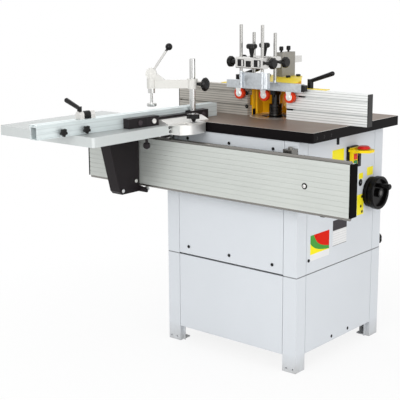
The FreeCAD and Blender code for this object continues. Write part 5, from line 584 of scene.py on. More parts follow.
def insert_finish(looks):
    """Turned ring with a painted highlight on its outer rim, pale and not metallic."""
    finish, tree, shader = new_finish("insert_steel")
    axes = axes_of(tree)
    # painted highlight: beyond this radius the ring is pale and matt, standing in for the shine on its rim
    rim = over(tree, reach_of(tree, axes[0], axes[1]), INSERT_HIGHLIGHT_RADIUS)
    tone = blend_colours(tree, rim, looks.insert, (0.95, 0.93, 0.88))
    tree.links.new(calc(tree, "MULTIPLY_ADD", rim, -0.7, 0.7), shader.inputs["Metallic"])
    surface = effect(tree, "turned_rings", {"Colour": tone, "Roughness": 0.30})
    dress(tree, shader, surface, 0.10, FINE_RELIEF)
    return finish


def hood_finish(looks):
    """Powder coat in a shaded and a lit yellow: deeper orange as painted shade and light thrown back inside the
    hood, and the cover's yellow painted on the faces that look up and on the wings.
    """
    finish, tree, shader = new_finish("hood_paint", specular=0.3)
    lit_wing = beyond(0, HOOD_WINGS_X)(tree, axes_of(tree))
    # painted light: faces that look up and the wings take the lit cover yellow, the rest the shaded orange
    tone = blend_colours(tree, calc(tree, "MAXIMUM", facing_up(tree), lit_wing), looks.hood, looks.cover)
    surface = effect(tree, "powder_coat", {"Colour": tone, "Mottle": 0.05, "Grain": 300.0, "Roughness": 0.38})
    dress(tree, shader, surface, 0.12, COAT_RELIEF)
    return finish


def fence_finish(name, tone, run, patches, metallic=0.4, pitch=0.009, depth=0.35):
    """Drawn bar with fine lines along it, painted as shade in fine grooves with a painted highlight between
    them, and plain parts of another colour, such as caps and a saddle.
    """
    finish, tree, shader = new_finish(name)
    axes = axes_of(tree)
    bar = effect(tree, "drawn_metal", {"Colour": tone, "Run": run, "Contrast": 0.09, "Roughness": 0.42})
    shown = effect(tree, "reeding", {"Colour": bar["Colour"], "Pitch": pitch, "Depth": depth})["Colour"]
    metal = metallic
    for mask_of, patch, shine in patches:
        mask = mask_of(tree, axes)
        shown = blend_colours(tree, mask, shown, patch)
        metal = calc(tree, "MULTIPLY_ADD", mask, shine - metallic, metal)
    plug(tree, shader.inputs["Metallic"], metal)
    dress(tree, shader, bar, 0.08, FINE_RELIEF, shown)
    return finish


def galvanised_finish(name, looks, rods_from):
    """Zinc spangle in small patches, pale lugs under it, and ground steel on the rods above the sheet."""
    finish, tree, shader = new_finish(name, metallic=0.85)
    place = place_of(tree)
    cells = add(tree, "ShaderNodeTexVoronoi", {"Scale": 150.0}, {"Vector": place})
    spangle = axes_of(tree, cells.outputs["Color"])[0]
    cloud = noise(tree, place, scale=14.0, detail=3.0)
    tone = vary(tree, swing(tree, spangle, 0.07), cloud, 0.10)
    z = axes_of(tree, place)[2]
    rod, lug = over(tree, z, rods_from), under(tree, z, LUGS_TOP_Z)
    sheet = blend_colours(tree, lug, shade(tree, looks.galvanised, tone), looks.hub)
    tree.links.new(blend_colours(tree, rod, sheet, looks.rod), shader.inputs["Base Color"])
    rough = calc(tree, "MULTIPLY_ADD", rod, -0.24, 0.38)
    tree.links.new(vary(tree, rough, spangle, 0.25), shader.inputs["Roughness"])
    emboss(tree, shader, spangle, 0.06, FINE_RELIEF)
    return finish


def roller_finish(looks):
    """Red tyre on a pale hub, round each of the three axles."""
    finish, tree, shader = new_finish("roller_red", specular=0.2)
    axes = axes_of(tree)
    across = calc(tree, "WRAP", axes[0], ROLLER_X / 2, -ROLLER_X / 2)
    rise = calc(tree, "SUBTRACT", axes[2], ROLLER_Z)
    hub = under(tree, reach_of(tree, across, rise), looks.hub_radius)
    tone = blend_colours(tree, hub, looks.roller, looks.hub)
    surface = effect(tree, "moulded_skin", {"Colour": tone, "Grain": 500.0, "Rub": 0.2, "Roughness": 0.38})
    dress(tree, shader, surface, 0.08, FINE_RELIEF)
    return finish


def slide_finish(looks):
    """Drawn slab whose top is painted darker, as shade, where it faces up."""
    finish, tree, shader = new_finish("slide_aluminium", metallic=0.35)
    surface = effect(tree, "drawn_metal", {"Colour": looks.table, "Run": (160.0, 3.0, 160.0), "Contrast": 0.06,
                                           "Roughness": 0.5})
    # painted shade: faces that look up are about a quarter darker, standing in for less light from above
    tone = shade_where(tree, surface["Colour"], facing_up(tree), -0.26)
    dress(tree, shader, surface, 0.10, FINE_RELIEF, tone)
    return finish


def carrier_finish(looks):
    """Black paint, paler on the bolt heads, with one bright head and a dark joint on the bar's side."""
    finish, tree, shader = new_finish("carrier_black", specular=0.2)
    turn = add(tree, "ShaderNodeVectorRotate", {"rotation_type": "Z_AXIS", "Center": (*MITRE_PIVOT, 0.0),
                                                "Angle": MITRE_SET}, {"Vector": place_of(tree)})
    axes = axes_of(tree, turn.outputs[0])
    proud = over(tree, axes[0], CARRIER_FACE_X)
    bolt = overlap(tree, proud, near(tree, axes[1], CARRIER_BOLT_Y, CARRIER_BOLT_RADIUS))
    seam = near(tree, axes[1], CARRIER_SEAM_Y, CARRIER_SEAM_WIDTH)
    surface = effect(tree, "powder_coat", {"Colour": looks.black, "Mottle": 0.2, "Grain": 520.0,
                                           "Roughness": 0.38})
    lift = calc(tree, "MULTIPLY_ADD", proud, 2.5, calc(tree, "SUBTRACT", 1.0, seam))
    tone = blend_colours(tree, bolt, shade(tree, surface["Colour"], lift), (0.86, 0.85, 0.83))
    tree.links.new(calc(tree, "MULTIPLY", bolt, 0.8), shader.inputs["Metallic"])
    dress(tree, shader, surface, 0.12, COAT_RELIEF, tone)
    return finish


def chart_finish(looks):
    """Plain chart with three fields, whose borders are bent, and a bare foot."""
    finish, tree, shader = new_finish("speed_chart", specular=0.05)
    axes = axes_of(tree)
    across = ramp(tree, axes[1], CHART[0][0], CHART[1][0], clamp=False)
    up = ramp(tree, axes[2], CHART[0][1], CHART[1][1], clamp=False)
    lift = calc(tree, "SUBTRACT", up, CHART_FOOT)
    tone = looks.chart_slow
    for field, shift, rise, product in CHART_BORDERS:
        bend = calc(tree, "MULTIPLY", calc(tree, "ADD", across, shift), calc(tree, "ADD", lift, rise))
        tone = blend_colours(tree, over(tree, bend, product), tone, getattr(looks, field))
    tone = blend_colours(tree, under(tree, lift, 0.0), tone, looks.plate_white)
    surface = effect(tree, "moulded_skin", {"Colour": tone, "Grain": 300.0, "Rub": 0.05, "Roughness": 0.3})
    dress(tree, shader, surface, 0.04, PRINT_RELIEF)
    return finish


def record_finish(looks):
    """Bare plate with a dark head field over a pale ruled one."""
    finish, tree, shader = new_finish("bare_plate", specular=0.15)
    z = axes_of(tree)[2]
    head = over(tree, z, RECORD_HEAD)
    row = under(tree, calc(tree, "PINGPONG", z, ROW_PITCH), ROW_WIDTH)
    foot = under(tree, z, RECORD[0][1] + RECORD_FOOT)
    line = calc(tree, "MAXIMUM", calc(tree, "MULTIPLY", row, 0.3), calc(tree, "MULTIPLY", foot, 0.8))
    tone = blend_colours(tree, calc(tree, "MAXIMUM", head, line), looks.plate_white, looks.plate_dark)
    surface = effect(tree, "moulded_skin", {"Colour": tone, "Grain": 300.0, "Rub": 0.1, "Roughness": 0.35})
    dress(tree, shader, surface, 0.04, PRINT_RELIEF)
    return finish


def cover_nodes(finish, *names):
    """Gives CAD pieces their finish."""
    for name in names:
        for slot in NODES[name].material_slots:
            slot.material = finish


def finish_of(name):
    return NODES[name].material_slots[0].material


# Modelling helpers

ALIGNED, SQUARE = 0.9, 0.1        # how far a direction has to lie along an axis, or may at most
SLACK = 0.1 * MM                  # within which an edge lies in a face


def clear_selection():
    if bpy.context.mode != "OBJECT":
        bpy.ops.object.mode_set(mode="OBJECT")
    bpy.ops.object.select_all(action="DESELECT")


def begin(name):
    """Names the new primitive, puts its place into its mesh and opens it for editing."""
    piece = bpy.context.active_object
    piece.name = name
    piece.data.name = name
    bpy.ops.object.transform_apply(location=True, rotation=True, scale=True)
    bpy.ops.object.mode_set(mode="EDIT")
    return piece


def start_block(name, low, high):
    clear_selection()
    middle = [(a + b) / 2 for a, b in zip(low, high)]
    size = [b - a for a, b in zip(low, high)]
    bpy.ops.mesh.primitive_cube_add(size=1.0, location=middle, scale=size)
    return begin(name)


def start_disc(name, middle, size, axis, sides):
    clear_selection()
    turn = {"x": (0.0, math.pi / 2, 0.0), "y": (math.pi / 2, 0.0, 0.0)}[axis]
    radius, depth = size
    bpy.ops.mesh.primitive_cylinder_add(vertices=sides, radius=radius, depth=depth, location=middle,
                                        rotation=turn)
    return begin(name)


def pick(piece, kind, rule):
    """Selects the faces or edges for which the rule holds, by their middle and their direction."""
    bpy.ops.mesh.select_mode(type=kind)
    bpy.ops.mesh.select_all(action="DESELECT")
    mesh = bmesh.from_edit_mesh(piece.data)
    found = 0
    for part in mesh.faces if kind == "FACE" else mesh.edges:
        if kind == "FACE":
            middle, direction = part.calc_center_median(), part.normal
        else:
            start, end = (corner.co for corner in part.verts)
            middle, direction = (start + end) / 2, (end - start).normalized()
        if rule(middle, direction):
            part.select_set(True)
            found += 1
    bmesh.update_edit_mesh(piece.data)
    if not found:
        raise RuntimeError(f"nothing to select on {piece.name}")


def facing(side):
    """Rule for the faces on one side, such as "+x"."""
    axis, sign = "xyz".index(side[1]), 1 if side[0] == "+" else -1
    return lambda middle, normal: normal[axis] * sign > ALIGNED


def along(axis):
    """Rule for the edges that run along an axis."""
    return lambda middle, run: abs(run["xyz".index(axis)]) > ALIGNED


def soften(offset, segments=2):
    bpy.ops.mesh.bevel(offset=offset, segments=segments, affect="EDGES")


def inset_faces(piece, rule, *steps):
    """Insets faces, by one thickness and depth after the other."""
    pick(piece, "FACE", rule)
    for thickness, depth in steps:
        bpy.ops.mesh.inset(thickness=thickness, depth=depth)


def rim_face(piece, side, rounding, *steps):
    """Rounds the border of a face and then insets it."""
    pick(piece, "FACE", facing(side))
    soften(rounding)
    inset_faces(piece, facing(side), *steps)


def round_front(piece, front, rounding, segments, step):
    """Rounds the edges of the face that looks to the right, at that place, and insets the face."""
    pick(piece, "EDGE", lambda middle, run: abs(run.x) < SQUARE and middle.x > front - SLACK)
    soften(rounding, segments)
    inset_faces(piece, facing("+x"), step)


def framed_block(name, low, high, side, rounding, segments, *steps):
    """Block with rounded corners and a face that is let in behind a rim."""
    piece = start_block(name, low, high)
    pick(piece, "EDGE", along(side[1]))
    soften(rounding, segments)
    inset_faces(piece, facing(side), *steps)
    return piece


def settle(piece, body, finish):
    """Closes the piece, smooths it and lets it ride on its body."""
    bpy.ops.mesh.select_all(action="SELECT")
    bpy.ops.mesh.normals_make_consistent(inside=False)
    bpy.ops.object.mode_set(mode="OBJECT")
    bpy.ops.object.shade_smooth_by_angle(angle=math.radians(32))
    piece.data.materials.clear()
    piece.data.materials.append(finish)
    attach(piece, body)
    return piece


def repeat(piece, body, *shifts):
    """Copies of a piece named ..._1 at further places, as ..._2 and so on."""
    stem = piece.name.removesuffix("1")
    for number, shift in enumerate(shifts, 2):
        clear_selection()
        piece.select_set(True)
        bpy.context.view_layer.objects.active = piece
        bpy.ops.object.duplicate(linked=False)
        twin = bpy.context.active_object
        twin.name = f"{stem}{number}"
        twin.data.name = twin.name
        twin.data.transform(Matrix.Translation(Vector(shift)))
        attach(twin, body)


def socket_screw(name, middle, size, side, body, finish):
    """Round screw head with a softened rim and a socket in its face."""
    radius, height = size
    piece = start_disc(name, middle, size, side[1], 24)
    rim_face(piece, side, radius * SCREW_RIM, (radius * SCREW_WALL, 0.0),
             (radius * SCREW_STEP, -height * SCREW_SOCKET))
    return settle(piece, body, finish)


def side_screws(stem, face, row, body, finish):
    """Screws in a face on the right: one is modelled, and the others are its copies."""
    size, place, steps = row
    first = socket_screw(f"{stem}_1", (face, *place), size, "+x", body, finish)
    repeat(first, body, *((0.0, *step) for step in steps))


def wall_plate(name, corners, finish, thickness, rim):
    """Thin plate on the right side with rounded corners and a field let in behind its rim."""
    low = (SIDE_FACE, *corners[0])
    high = (SIDE_FACE + thickness, *corners[1])
    sunk = thickness * 0.3
    piece = framed_block(name, low, high, "+x", rim * 1.2, 3, (rim, 0.0), (sunk, -sunk))
    return settle(piece, "frame", finish)


# Pieces

def looks_of(context):
    return context.scene.moulder_looks


class MOULDER_OT_cabinet(Operator):
    """Paint the stand, the panels and the door, and fit the side screws and the key switch's ring."""
    bl_idname = "moulder.cabinet"
    bl_label = "Paint the cabinet"

    def execute(self, context):
        looks = looks_of(context).cabinet
        cover_nodes(painted("cabinet_paint", looks.paint, soil=looks.soil_height),
                    "corner_posts", "side_panels", "front_cover", "rear_door")
        dark = moulded("black_screw", looks.screw, roughness=0.4, rub=0.8)
        cover_nodes(dark, "panel_screws")
        side_screws("side_screw", SIDE_FACE, SIDE_SCREWS, "frame", dark)
        socket_screw("key_ring", (SIDE_FACE, *KEY_RING_PLACE), KEY_RING, "+x", "frame", dark)
        return {"FINISHED"}


class MOULDER_OT_plates(Operator):
    """Fix the speed chart, the bare plate and the blank yellow plates on the right side."""
    bl_idname = "moulder.plates"
    bl_label = "Fix the plates"

    def execute(self, context):
        looks = looks_of(context).cabinet
        wall_plate("chart_plate", CHART, chart_finish(looks), thickness=0.8 * MM, rim=1.0 * MM)
        wall_plate("bare_plate", RECORD, record_finish(looks), thickness=0.8 * MM, rim=1.2 * MM)
        blank = moulded("blank_yellow", looks.chart_slow, roughness=0.36, rub=0.05, specular=0.2)
        for name, corners in BLANKS.items():
            wall_plate(name, corners, blank, thickness=BLANK_THICKNESS, rim=1.0 * MM)
        side_screws("plate_screw", SIDE_FACE + BLANK_THICKNESS, PLATE_SCREWS, "frame",
                    finish_of("panel_screws"))
        return {"FINISHED"}


class MOULDER_OT_louvres(Operator):
    """Press a row of louvres into the rear door."""
    bl_idname = "moulder.louvres"
    bl_label = "Press the door's louvres"

    def execute(self, context):
        half, depth, pitch, rows = 0.06, 0.007, 0.022, 7
        bottom, top = 0.520, 0.532
        crest = DOOR_FACE + depth
        if crest > max(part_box("rear_door")[1].y, CAD_BOX[1].y):
            raise RuntimeError("louvres stand out past the door's box")
        first = start_block("door_louvre_1", (-half, DOOR_FACE, bottom), (half, crest, top))
        pick(first, "EDGE", lambda middle, run: abs(run.x) > ALIGNED and middle.y > crest - 0.001
             and middle.z > top - 0.002)
        soften(0.0065, 5)
        pick(first, "EDGE", lambda middle, run: abs(run.x) < SQUARE and middle.y > DOOR_FACE + 0.001)
        soften(0.0012)
        settle(first, "rear_door", finish_of("rear_door"))
        repeat(first, "rear_door", *((0.0, 0.0, row * pitch) for row in range(1, rows)))
        return {"FINISHED"}


class MOULDER_OT_table(Operator):
    """Finish the cast table, its insert and its small set screws."""
    bl_idname = "moulder.table"
    bl_label = "Finish the table"

    def execute(self, context):
        looks = looks_of(context).table
        cover_nodes(table_finish(looks), "table")
        cover_nodes(insert_finish(looks), "table_insert")
        screw = moulded("set_screw", (0.012, 0.011, 0.011), roughness=0.35)
        side_screws("table_screw", TABLE_HIGH.x, TABLE_SCREWS, "frame", screw)
        return {"FINISHED"}


class MOULDER_OT_spindle(Operator):
    """Finish the spindle, the lift and the drive under the table."""
    bl_idname = "moulder.spindle"
    bl_label = "Finish the spindle and drive"

    def execute(self, context):
        looks = looks_of(context).table
        cover_nodes(turned("spindle_black", looks.spindle, roughness=0.14, metallic=0.0, contrast=0.2,
                           strength=0.02), "spindle_shaft", "spindle_rings")
        cover_nodes(turned("machined_steel", (0.44, 0.43, 0.41), roughness=0.32),
                    "spindle_bearings", "lift_guides", "lift_screw")
        cover_nodes(turned("hub_steel", (0.13, 0.125, 0.12), roughness=0.36), "handwheel_shaft")
        cover_nodes(painted("casting", (0.085, 0.095, 0.10), roughness=0.6, mottle=0.12, grain=180.0,
                            strength=0.35), "quill_carriage", "motor")
        cover_nodes(turned("pulley_aluminium", (0.62, 0.62, 0.60), MOTOR_AXIS), "motor_pulley")
        cover_nodes(moulded("belt_rubber", (0.015, 0.015, 0.015), roughness=0.7, grain=260.0, strength=0.3),
                    "drive_belt")
        return {"FINISHED"}


class MOULDER_OT_hood(Operator):
    """Finish the hood, its cover, bracket, knobs and levers, and fit the guards on its left wall, with a black
    block where shade falls under the strip.
    """
    bl_idname = "moulder.hood"
    bl_label = "Finish the hood"

    def execute(self, context):
        looks = looks_of(context).fence
        cover_nodes(hood_finish(looks), "hood")
        cover_nodes(painted("cover_paint", looks.cover, roughness=0.38, mottle=0.05, grain=300.0, specular=0.3),
                    "hood_cover")
        cover_nodes(painted("bracket_paint", looks.bracket, roughness=0.5, mottle=0.05, grain=240.0,
                            strength=0.2), "presser_bracket")
        black = moulded("hood_knob", looks_of(context).control.plastic, roughness=0.25, specular=0.25)
        cover_nodes(black, "hood_knobs", "left_fence_lever", "right_fence_lever")
        # a lighter copy of the hood's yellow, brighter than the shaded orange, so that the strip and lip hold
        # up against the shade on this wall
        paint = painted("guard_paint", (1.0, 0.56, 0.012), roughness=0.38, mottle=0.05, grain=300.0,
                        specular=0.3)
        self.guard("hood_strip", HOOD_STRIP, paint, "hood_paint", thickness=0.0024, rounding=0.0010)
        # painted shade: a black block where the shade under the strip falls
        self.guard("hood_shoe", HOOD_SHADE_BLOCK, black, "black_plastic", thickness=0.0030, rounding=0.0012)
        self.guard("hood_lip", HOOD_LIP, paint, "hood_paint", thickness=0.0045, rounding=0.0020)
        return {"FINISHED"}

    def guard(self, name, corners, finish, slot, thickness, rounding):
        """Flat strip, black block painted as shade, or lip on the inside of the hood's left wall."""
        front = HOOD_WALL_X + thickness
        piece = start_block(name, (HOOD_WALL_X, *corners[0]), (front, *corners[1]))
        round_front(piece, front, rounding, 3, (rounding * 0.5, 0.0))
        return settle(piece, "fence_carriage", finish)


class MOULDER_OT_fences(Operator):
    """Finish both fences and fit the left one's end screws and the right one's slide nuts."""
    bl_idname = "moulder.fences"
    bl_label = "Finish the fences"

    def execute(self, context):
        looks = looks_of(context).fence
        black = looks_of(context).control.plastic
        caps = [(beyond(0, FENCE_CAPS_X), black, 0.0)]
        run = (3.0, 220.0, 220.0)
        cover_nodes(fence_finish("fence_aluminium", looks.aluminium, run, caps, pitch=looks.reed),
                    "right_fence")
        # painted shade: the left fence takes the darker copy of the aluminium and deeper lines
        cover_nodes(fence_finish("aged_aluminium", looks.left_fence_shaded, run, caps, pitch=looks.reed, depth=0.5),
                    "left_fence")
        screw = moulded("fence_screw", black, specular=0.2)
        low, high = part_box("left_fence")
        inset, screw_z, nut_z, groove_step = 0.0032, 0.9545, 0.9045, 0.050
        first = socket_screw("left_fence_screw_1", (high.x - inset, low.y, screw_z), FENCE_SCREW, "-y",
                             "left_fence", screw)
        repeat(first, "left_fence", (0.0, 0.0, -groove_step))
        first = self.slide_nut("right_fence_nut_1", (-high.x + 0.002, low.y, nut_z), screw)
        repeat(first, "right_fence", (0.050, 0.0, groove_step))
        return {"FINISHED"}

    def slide_nut(self, name, corner, finish):
        """Black nut that shows in the fence's groove."""
        x, y, z = corner
        span, height, proud, sunk = 0.026, 0.0065, 0.0008, 0.0030
        piece = framed_block(name, (x, y - proud, z), (x + span, y + sunk, z + height), "-y", 0.0016, 2,
                             (0.0008, 0.0), (0.0003, -0.0005))
        return settle(piece, "right_fence", finish)


class MOULDER_OT_pressers(Operator):
    """Finish the pressers, and fit the arm's end plug, the blocks' windows and the channel's bumper."""
    bl_idname = "moulder.pressers"
    bl_label = "Finish the pressers"

    def execute(self, context):
        looks = looks_of(context).fence
        bright = drawn("bright_steel", (0.70, 0.69, 0.67), (60.0, 60.0, 60.0), contrast=0.06, roughness=0.22,
                       metallic=1.0)
        cover_nodes(bright, "presser_arm", "rod_blocks")
        cover_nodes(galvanised_finish("shoe_zinc", looks, SHOE_RODS_Z), "front_presser")
        cover_nodes(galvanised_finish("channel_zinc", looks, CHANNEL_RODS_Z), "roller_presser")
        cover_nodes(roller_finish(looks), "roller_left", "roller_middle", "roller_right")
        knob = moulded("presser_knob", looks_of(context).control.plastic, roughness=0.24, specular=0.3)
        cover_nodes(knob, "presser_knobs")
        self.arm_plug("arm_plug", knob)
        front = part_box("rod_blocks")[0].y
        repeat(self.rod_window("block_window_1", front, knob), "presser_arm", OTHER_BLOCK)
        repeat(self.rod_strip("block_rod_1", front, bright), "presser_arm", OTHER_BLOCK)
        low, high = (0.1685, -0.0815, 0.9775), (0.1860, -0.0610, 1.0015)
        bumper = start_block("channel_bumper", low, high)
        round_front(bumper, high[0], 0.0065, 4, (0.0025, 0.0006))
        settle(bumper, "roller_presser", knob)
        return {"FINISHED"}

    def arm_plug(self, name, finish):
        """Plug in the front end of the square arm."""
        low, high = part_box("presser_arm")
        half, proud, sunk = 0.011, 0.0015, 0.0005
        x, z = (low.x + high.x) / 2, (low.z + high.z) / 2
        piece = start_block(name, (x - half, low.y - proud, z - half), (x + half, low.y + sunk, z + half))
        rim_face(piece, "-y", 0.0009, (0.003, -0.0005))
        return settle(piece, "presser_arm", finish)

    def rod_window(self, name, front, finish):
        """Dark window in the block's face, framed by a raised lip."""
        (left, bottom), (right, top) = ROD_WINDOW
        proud, sunk = 0.0018, 0.0010
        piece = framed_block(name, (left, front - proud, bottom), (right, front + sunk, top), "-y", 0.0015, 2,
                             (0.0012, 0.0), (0.0004, -0.0008))
        return settle(piece, "presser_arm", finish)

    def rod_strip(self, name, front, finish):
        """Bright front of the rod where it shows in the window."""
        (left, bottom), (right, top) = ROD_STRIP
        proud, sunk = 0.0016, 0.0005
        piece = start_block(name, (left, front - proud, bottom), (right, front + sunk, top))
        pick(piece, "EDGE", lambda middle, run: abs(run.z) > ALIGNED and middle.y < front)
        soften(0.0011, 4)
        inset_faces(piece, lambda middle, normal: abs(normal.z) > ALIGNED, (0.0003, 0.0))
        return settle(piece, "presser_arm", finish)


class MOULDER_OT_rail(Operator):
    """Finish the front rail, its guide bars, brackets and end caps, and fit its bolt with a washer."""
    bl_idname = "moulder.rail"
    bl_label = "Finish the rail"

    def execute(self, context):
        looks = looks_of(context)
        cover_nodes(drawn("rail_aluminium", looks.slide.rail, (2.5, 240.0, 240.0), contrast=0.09,
                          roughness=0.45, metallic=0.5), "rail")
        cover_nodes(drawn("guide_bar", (0.26, 0.25, 0.235), (3.0, 400.0, 400.0), contrast=0.10, roughness=0.25,
                          metallic=1.0), "rail_bars")
        cap = moulded("rail_cap", looks.control.plastic, roughness=0.55, grain=500.0, specular=0.02)
        cover_nodes(cap, "rail_end_caps")
        cover_nodes(drawn("rail_bracket", (0.20, 0.195, 0.185), (160.0, 160.0, 160.0), contrast=0.3,
                          roughness=0.25, metallic=1.0), "rail_brackets")
        bolt = turned("rail_bolt", (0.86, 0.85, 0.83), roughness=0.3, metallic=0.6)
        x, face, z = 0.378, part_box("rail")[0].y, 0.705
        washer = start_disc("rail_bolt_washer", (x, face - 0.2 * MM, z), RAIL_WASHER, "y", 32)
        rim_face(washer, "-y", 0.0004, (0.0024, 0.0), (0.0003, -0.0003))
        settle(washer, "frame", cap)
        socket_screw("rail_bolt_head", (x, face - 1.2 * MM, z), RAIL_BOLT, "-y", "frame", bolt)
        return {"FINISHED"}


class MOULDER_OT_slide(Operator):
    """Finish the sliding table, its support arm and its guide rollers, and fit its set screws."""
    bl_idname = "moulder.slide"
    bl_label = "Finish the sliding table"

    def execute(self, context):
        looks = looks_of(context).slide
        cover_nodes(slide_finish(looks), "sliding_table")
        cover_nodes(painted("black_paint", looks.black, roughness=0.42, mottle=0.2, grain=520.0, specular=0.15),
                    "support_arm")
        cover_nodes(drawn("guide_steel", (0.85, 0.84, 0.82), (300.0, 300.0, 300.0), roughness=0.3,
                          metallic=1.0), "guide_rollers")
        screw = moulded("slide_screw", (0.03, 0.03, 0.03), roughness=0.35)
        side_screws("slide_screw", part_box("sliding_table")[1].x, SLIDE_SCREWS, "sliding_table", screw)
        return {"FINISHED"}


class MOULDER_OT_mitre(Operator):
    """Finish the mitre fence, its swivel casting, the carrier and the flip stop."""
    bl_idname = "moulder.mitre"
    bl_label = "Finish the mitre fence"

    def execute(self, context):
        looks = looks_of(context)
        saddle = [(above(2, MITRE_FENCE_TOP), (0.72, 0.71, 0.69), 1.0)]
        cover_nodes(fence_finish("mitre_aluminium", looks.slide.fence, (200.0, 3.0, 200.0), saddle, pitch=0.018,
                                 depth=0.1), "mitre_fence")
        cover_nodes(drawn("cast_aluminium", (0.80, 0.79, 0.77), (90.0, 90.0, 90.0), contrast=0.10,
                          roughness=0.34, metallic=0.75, strength=0.2), "mitre_base", "mitre_head")
        cover_nodes(carrier_finish(looks.slide), "carrier_bar")
        cover_nodes(moulded("mitre_knob", looks.control.plastic, roughness=0.25, specular=0.3),
                    "mitre_knob", "fence_knobs", "flip_stop")
        return {"FINISHED"}


class MOULDER_OT_clamp(Operator):
    """Finish the hold-down clamp."""
    bl_idname = "moulder.clamp"
    bl_label = "Finish the clamp"

    def execute(self, context):
        paint, black = looks_of(context).slide.clamp, looks_of(context).control.plastic
        cover_nodes(drawn("column_chrome", (0.62, 0.62, 0.61), (220.0, 220.0, 30.0), contrast=0.03,
                          roughness=0.14, metallic=1.0, strength=0.03), "clamp_column", "clamp_plunger")
        cover_nodes(painted("clamp_paint", paint, roughness=0.4, mottle=0.04, grain=300.0), "clamp_arm")
        parts = [(above(2, LEVER_ROD_Z), (0.60, 0.59, 0.57)), (above(2, LEVER_BALL_Z), black)]
        cover_nodes(split_plastic("clamp_lever", paint, parts), "clamp_lever")
        cover_nodes(moulded("clamp_knob", black, roughness=0.25, specular=0.3), "clamp_knob")
        return {"FINISHED"}


class MOULDER_OT_switch(Operator):
    """Finish the switch box, its buttons and its flap."""
    bl_idname = "moulder.switch"
    bl_label = "Finish the switch"

    def execute(self, context):
        looks = looks_of(context).control
        parts = [(below(0, SIDE_FACE + SWITCH_BASE), looks.plastic), (lock_tab, looks.plastic)]
        cover_nodes(split_plastic("switch_plastic", looks.housing, parts), "switch_box")
        cover_nodes(split_plastic("flap_plastic", looks.housing, [(above(2, FLAP_BUTTON_Z), looks.stop)]),
                    "stop_flap")
        cover_nodes(moulded("stop_plastic", looks.stop, roughness=0.3, rub=0.2, specular=0.3), "stop_button")
        cover_nodes(moulded("start_plastic", looks.start, roughness=0.3, rub=0.2, specular=0.3), "start_button")
        return {"FINISHED"}


class MOULDER_OT_wheel(Operator):
    """Finish the hand wheel, its flange and grip, and the door's latch."""
    bl_idname = "moulder.wheel"
    bl_label = "Finish the hand wheel"

    def execute(self, context):
        plastic = looks_of(context).control.plastic
        cover_nodes(moulded("wheel_plastic", plastic, roughness=0.24, grain=500.0, specular=0.12),
                    "handwheel", "handwheel_flange", "crank_grip", "door_latch")
        return {"FINISHED"}


# Stage

FLOOR_SIZE, FLOOR_Z = 40.0, -0.0005
WHITE = (1.0, 1.0, 1.0, 1.0)
LAMPS = (                         # property, place and size
    ("key", (1.3, -3.7, 2.2), 2.4),
    ("top", (-0.4, -0.6, 3.6), 2.2),
    ("side", (3.9, -0.7, 1.7), 2.4),
    ("back", (-2.8, 1.6, 2.4), 1.8),
)
LAMP_TARGET = (0.0, -0.2, 0.65)
CAMERA_PLACE = (2.2017, -3.0297, 1.3704)
CAMERA_DOWN, CAMERA_ROUND, CAMERA_ROLL = 12.433, 40.40, -0.395    # degrees
SENSOR_WIDTH = 36.0


def shows_white(tree):
    """One for rays that come from the camera, straight or by way of gloss or glass."""
    rays = add(tree, "ShaderNodeLightPath").outputs
    return calc(tree, "MAXIMUM", rays["Is Camera Ray"],
                calc(tree, "MAXIMUM", rays["Is Glossy Ray"], rays["Is Transmission Ray"]))


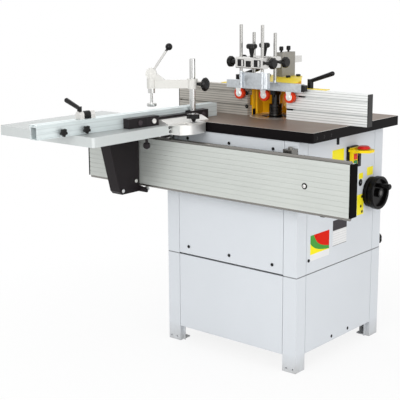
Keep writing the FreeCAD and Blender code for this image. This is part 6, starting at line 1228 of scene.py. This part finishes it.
class MOULDER_OT_stage(Operator):
    """Lay the floor and set the light and the camera."""
    bl_idname = "moulder.stage"
    bl_label = "Set the stage"

    def execute(self, context):
        looks = looks_of(context).stage
        self.lay_floor(looks)
        self.light(context, looks)
        self.aim_camera(context, looks)
        return {"FINISHED"}

    def lay_floor(self, looks):
        """Pale floor that keeps the shadow near the stand and goes over into white."""
        clear_selection()
        bpy.ops.mesh.primitive_plane_add(size=FLOOR_SIZE, location=(0.0, 0.0, FLOOR_Z))
        floor = bpy.context.active_object
        floor.name = "stage_floor"
        bpy.ops.object.transform_apply(location=True, rotation=True, scale=True)
        finish = bpy.data.materials.new("stage_floor")
        finish.use_nodes = True
        tree = finish.node_tree
        tree.nodes.clear()
        matt = add(tree, "ShaderNodeBsdfDiffuse", {"Color": (*looks.floor, 1.0)})
        white = add(tree, "ShaderNodeEmission", {"Color": WHITE, "Strength": 1.0})
        axes = axes_of(tree)
        clear = ramp(tree, reach_of(tree, axes[0], axes[1]), 0.4, 1.5, low=0.86, high=1.0)
        mask = overlap(tree, shows_white(tree), clear)
        mixed = add(tree, "ShaderNodeMixShader", links={0: mask, 1: matt.outputs[0], 2: white.outputs[0]})
        add(tree, "ShaderNodeOutputMaterial", links={"Surface": mixed.outputs[0]})
        floor.data.materials.append(finish)

    def light(self, context, looks):
        """Even light from all round, and four soft lamps."""
        world = bpy.data.worlds.new("studio")
        context.scene.world = world
        world.use_nodes = True
        tree = world.node_tree
        tree.nodes.clear()
        soft = add(tree, "ShaderNodeBackground", {"Color": WHITE, "Strength": looks.sky})
        white = add(tree, "ShaderNodeBackground", {"Color": WHITE, "Strength": 1.0})
        mixed = add(tree, "ShaderNodeMixShader", links={0: shows_white(tree), 1: soft.outputs[0],
                                                        2: white.outputs[0]})
        add(tree, "ShaderNodeOutputWorld", links={"Surface": mixed.outputs[0]})
        for which, place, size in LAMPS:
            name = f"{which}_lamp"
            lamp = bpy.data.lights.new(name, "AREA")
            lamp.shape = "SQUARE"
            lamp.size = size
            lamp.energy = getattr(looks, which)
            holder = bpy.data.objects.new(name, lamp)
            context.scene.collection.objects.link(holder)
            holder.location = place
            holder.rotation_euler = (Vector(LAMP_TARGET) - Vector(place)).to_track_quat("-Z", "Y").to_euler()

    def aim_camera(self, context, looks):
        """Camera at the place that was fitted to the photograph's straight edges."""
        lens = bpy.data.cameras.new("photo_camera")
        lens.sensor_width = SENSOR_WIDTH
        lens.lens = looks.lens / MM
        lens.clip_end = 100.0
        camera = bpy.data.objects.new("photo_camera", lens)
        context.scene.collection.objects.link(camera)
        turn = Euler((math.radians(90.0 - CAMERA_DOWN), 0.0, math.radians(CAMERA_ROUND))).to_matrix()
        turn = turn @ Matrix.Rotation(math.radians(CAMERA_ROLL), 3, "Z")
        camera.location = CAMERA_PLACE
        camera.rotation_euler = turn.to_euler()
        context.scene.camera = camera
        context.scene.view_settings.view_transform = "Standard"


class MOULDER_PT_looks(Panel):
    """All values and steps of the looks, in order."""
    bl_idname = "MOULDER_PT_looks"
    bl_label = "Spindle moulder"
    bl_space_type = "VIEW_3D"
    bl_region_type = "UI"
    bl_category = "Moulder"

    def draw(self, context):
        looks = looks_of(context)
        for group in ("cabinet", "table", "fence", "slide", "control", "stage"):
            box = self.layout.box()
            box.label(text=group.capitalize())
            values = getattr(looks, group)
            for key in values.__annotations__:
                box.prop(values, key)
        for step in STEPS:
            self.layout.operator(step.bl_idname)


STEPS = (
    MOULDER_OT_cabinet, MOULDER_OT_plates, MOULDER_OT_louvres, MOULDER_OT_table, MOULDER_OT_spindle,
    MOULDER_OT_hood, MOULDER_OT_fences, MOULDER_OT_pressers, MOULDER_OT_rail, MOULDER_OT_slide,
    MOULDER_OT_mitre, MOULDER_OT_clamp, MOULDER_OT_switch, MOULDER_OT_wheel, MOULDER_OT_stage,
)
GROUPS = (
    MOULDER_PG_cabinet, MOULDER_PG_table, MOULDER_PG_fence, MOULDER_PG_slide, MOULDER_PG_control,
    MOULDER_PG_stage, MOULDER_PG_looks,
)
CLASSES = (*GROUPS, *STEPS, MOULDER_PT_looks)


def register():
    for kind in CLASSES:
        bpy.utils.register_class(kind)
    bpy.types.Scene.moulder_looks = PointerProperty(type=MOULDER_PG_looks)


def unregister():
    del bpy.types.Scene.moulder_looks
    for kind in reversed(CLASSES):
        bpy.utils.unregister_class(kind)


def main():
    register()
    bpy.ops.moulder.cabinet()
    bpy.ops.moulder.plates()
    bpy.ops.moulder.louvres()
    bpy.ops.moulder.table()
    bpy.ops.moulder.spindle()
    bpy.ops.moulder.hood()
    bpy.ops.moulder.fences()
    bpy.ops.moulder.pressers()
    bpy.ops.moulder.rail()
    bpy.ops.moulder.slide()
    bpy.ops.moulder.mitre()
    bpy.ops.moulder.clamp()
    bpy.ops.moulder.switch()
    bpy.ops.moulder.wheel()
    bpy.ops.moulder.stage()


if __name__ == "__main__":
    main()
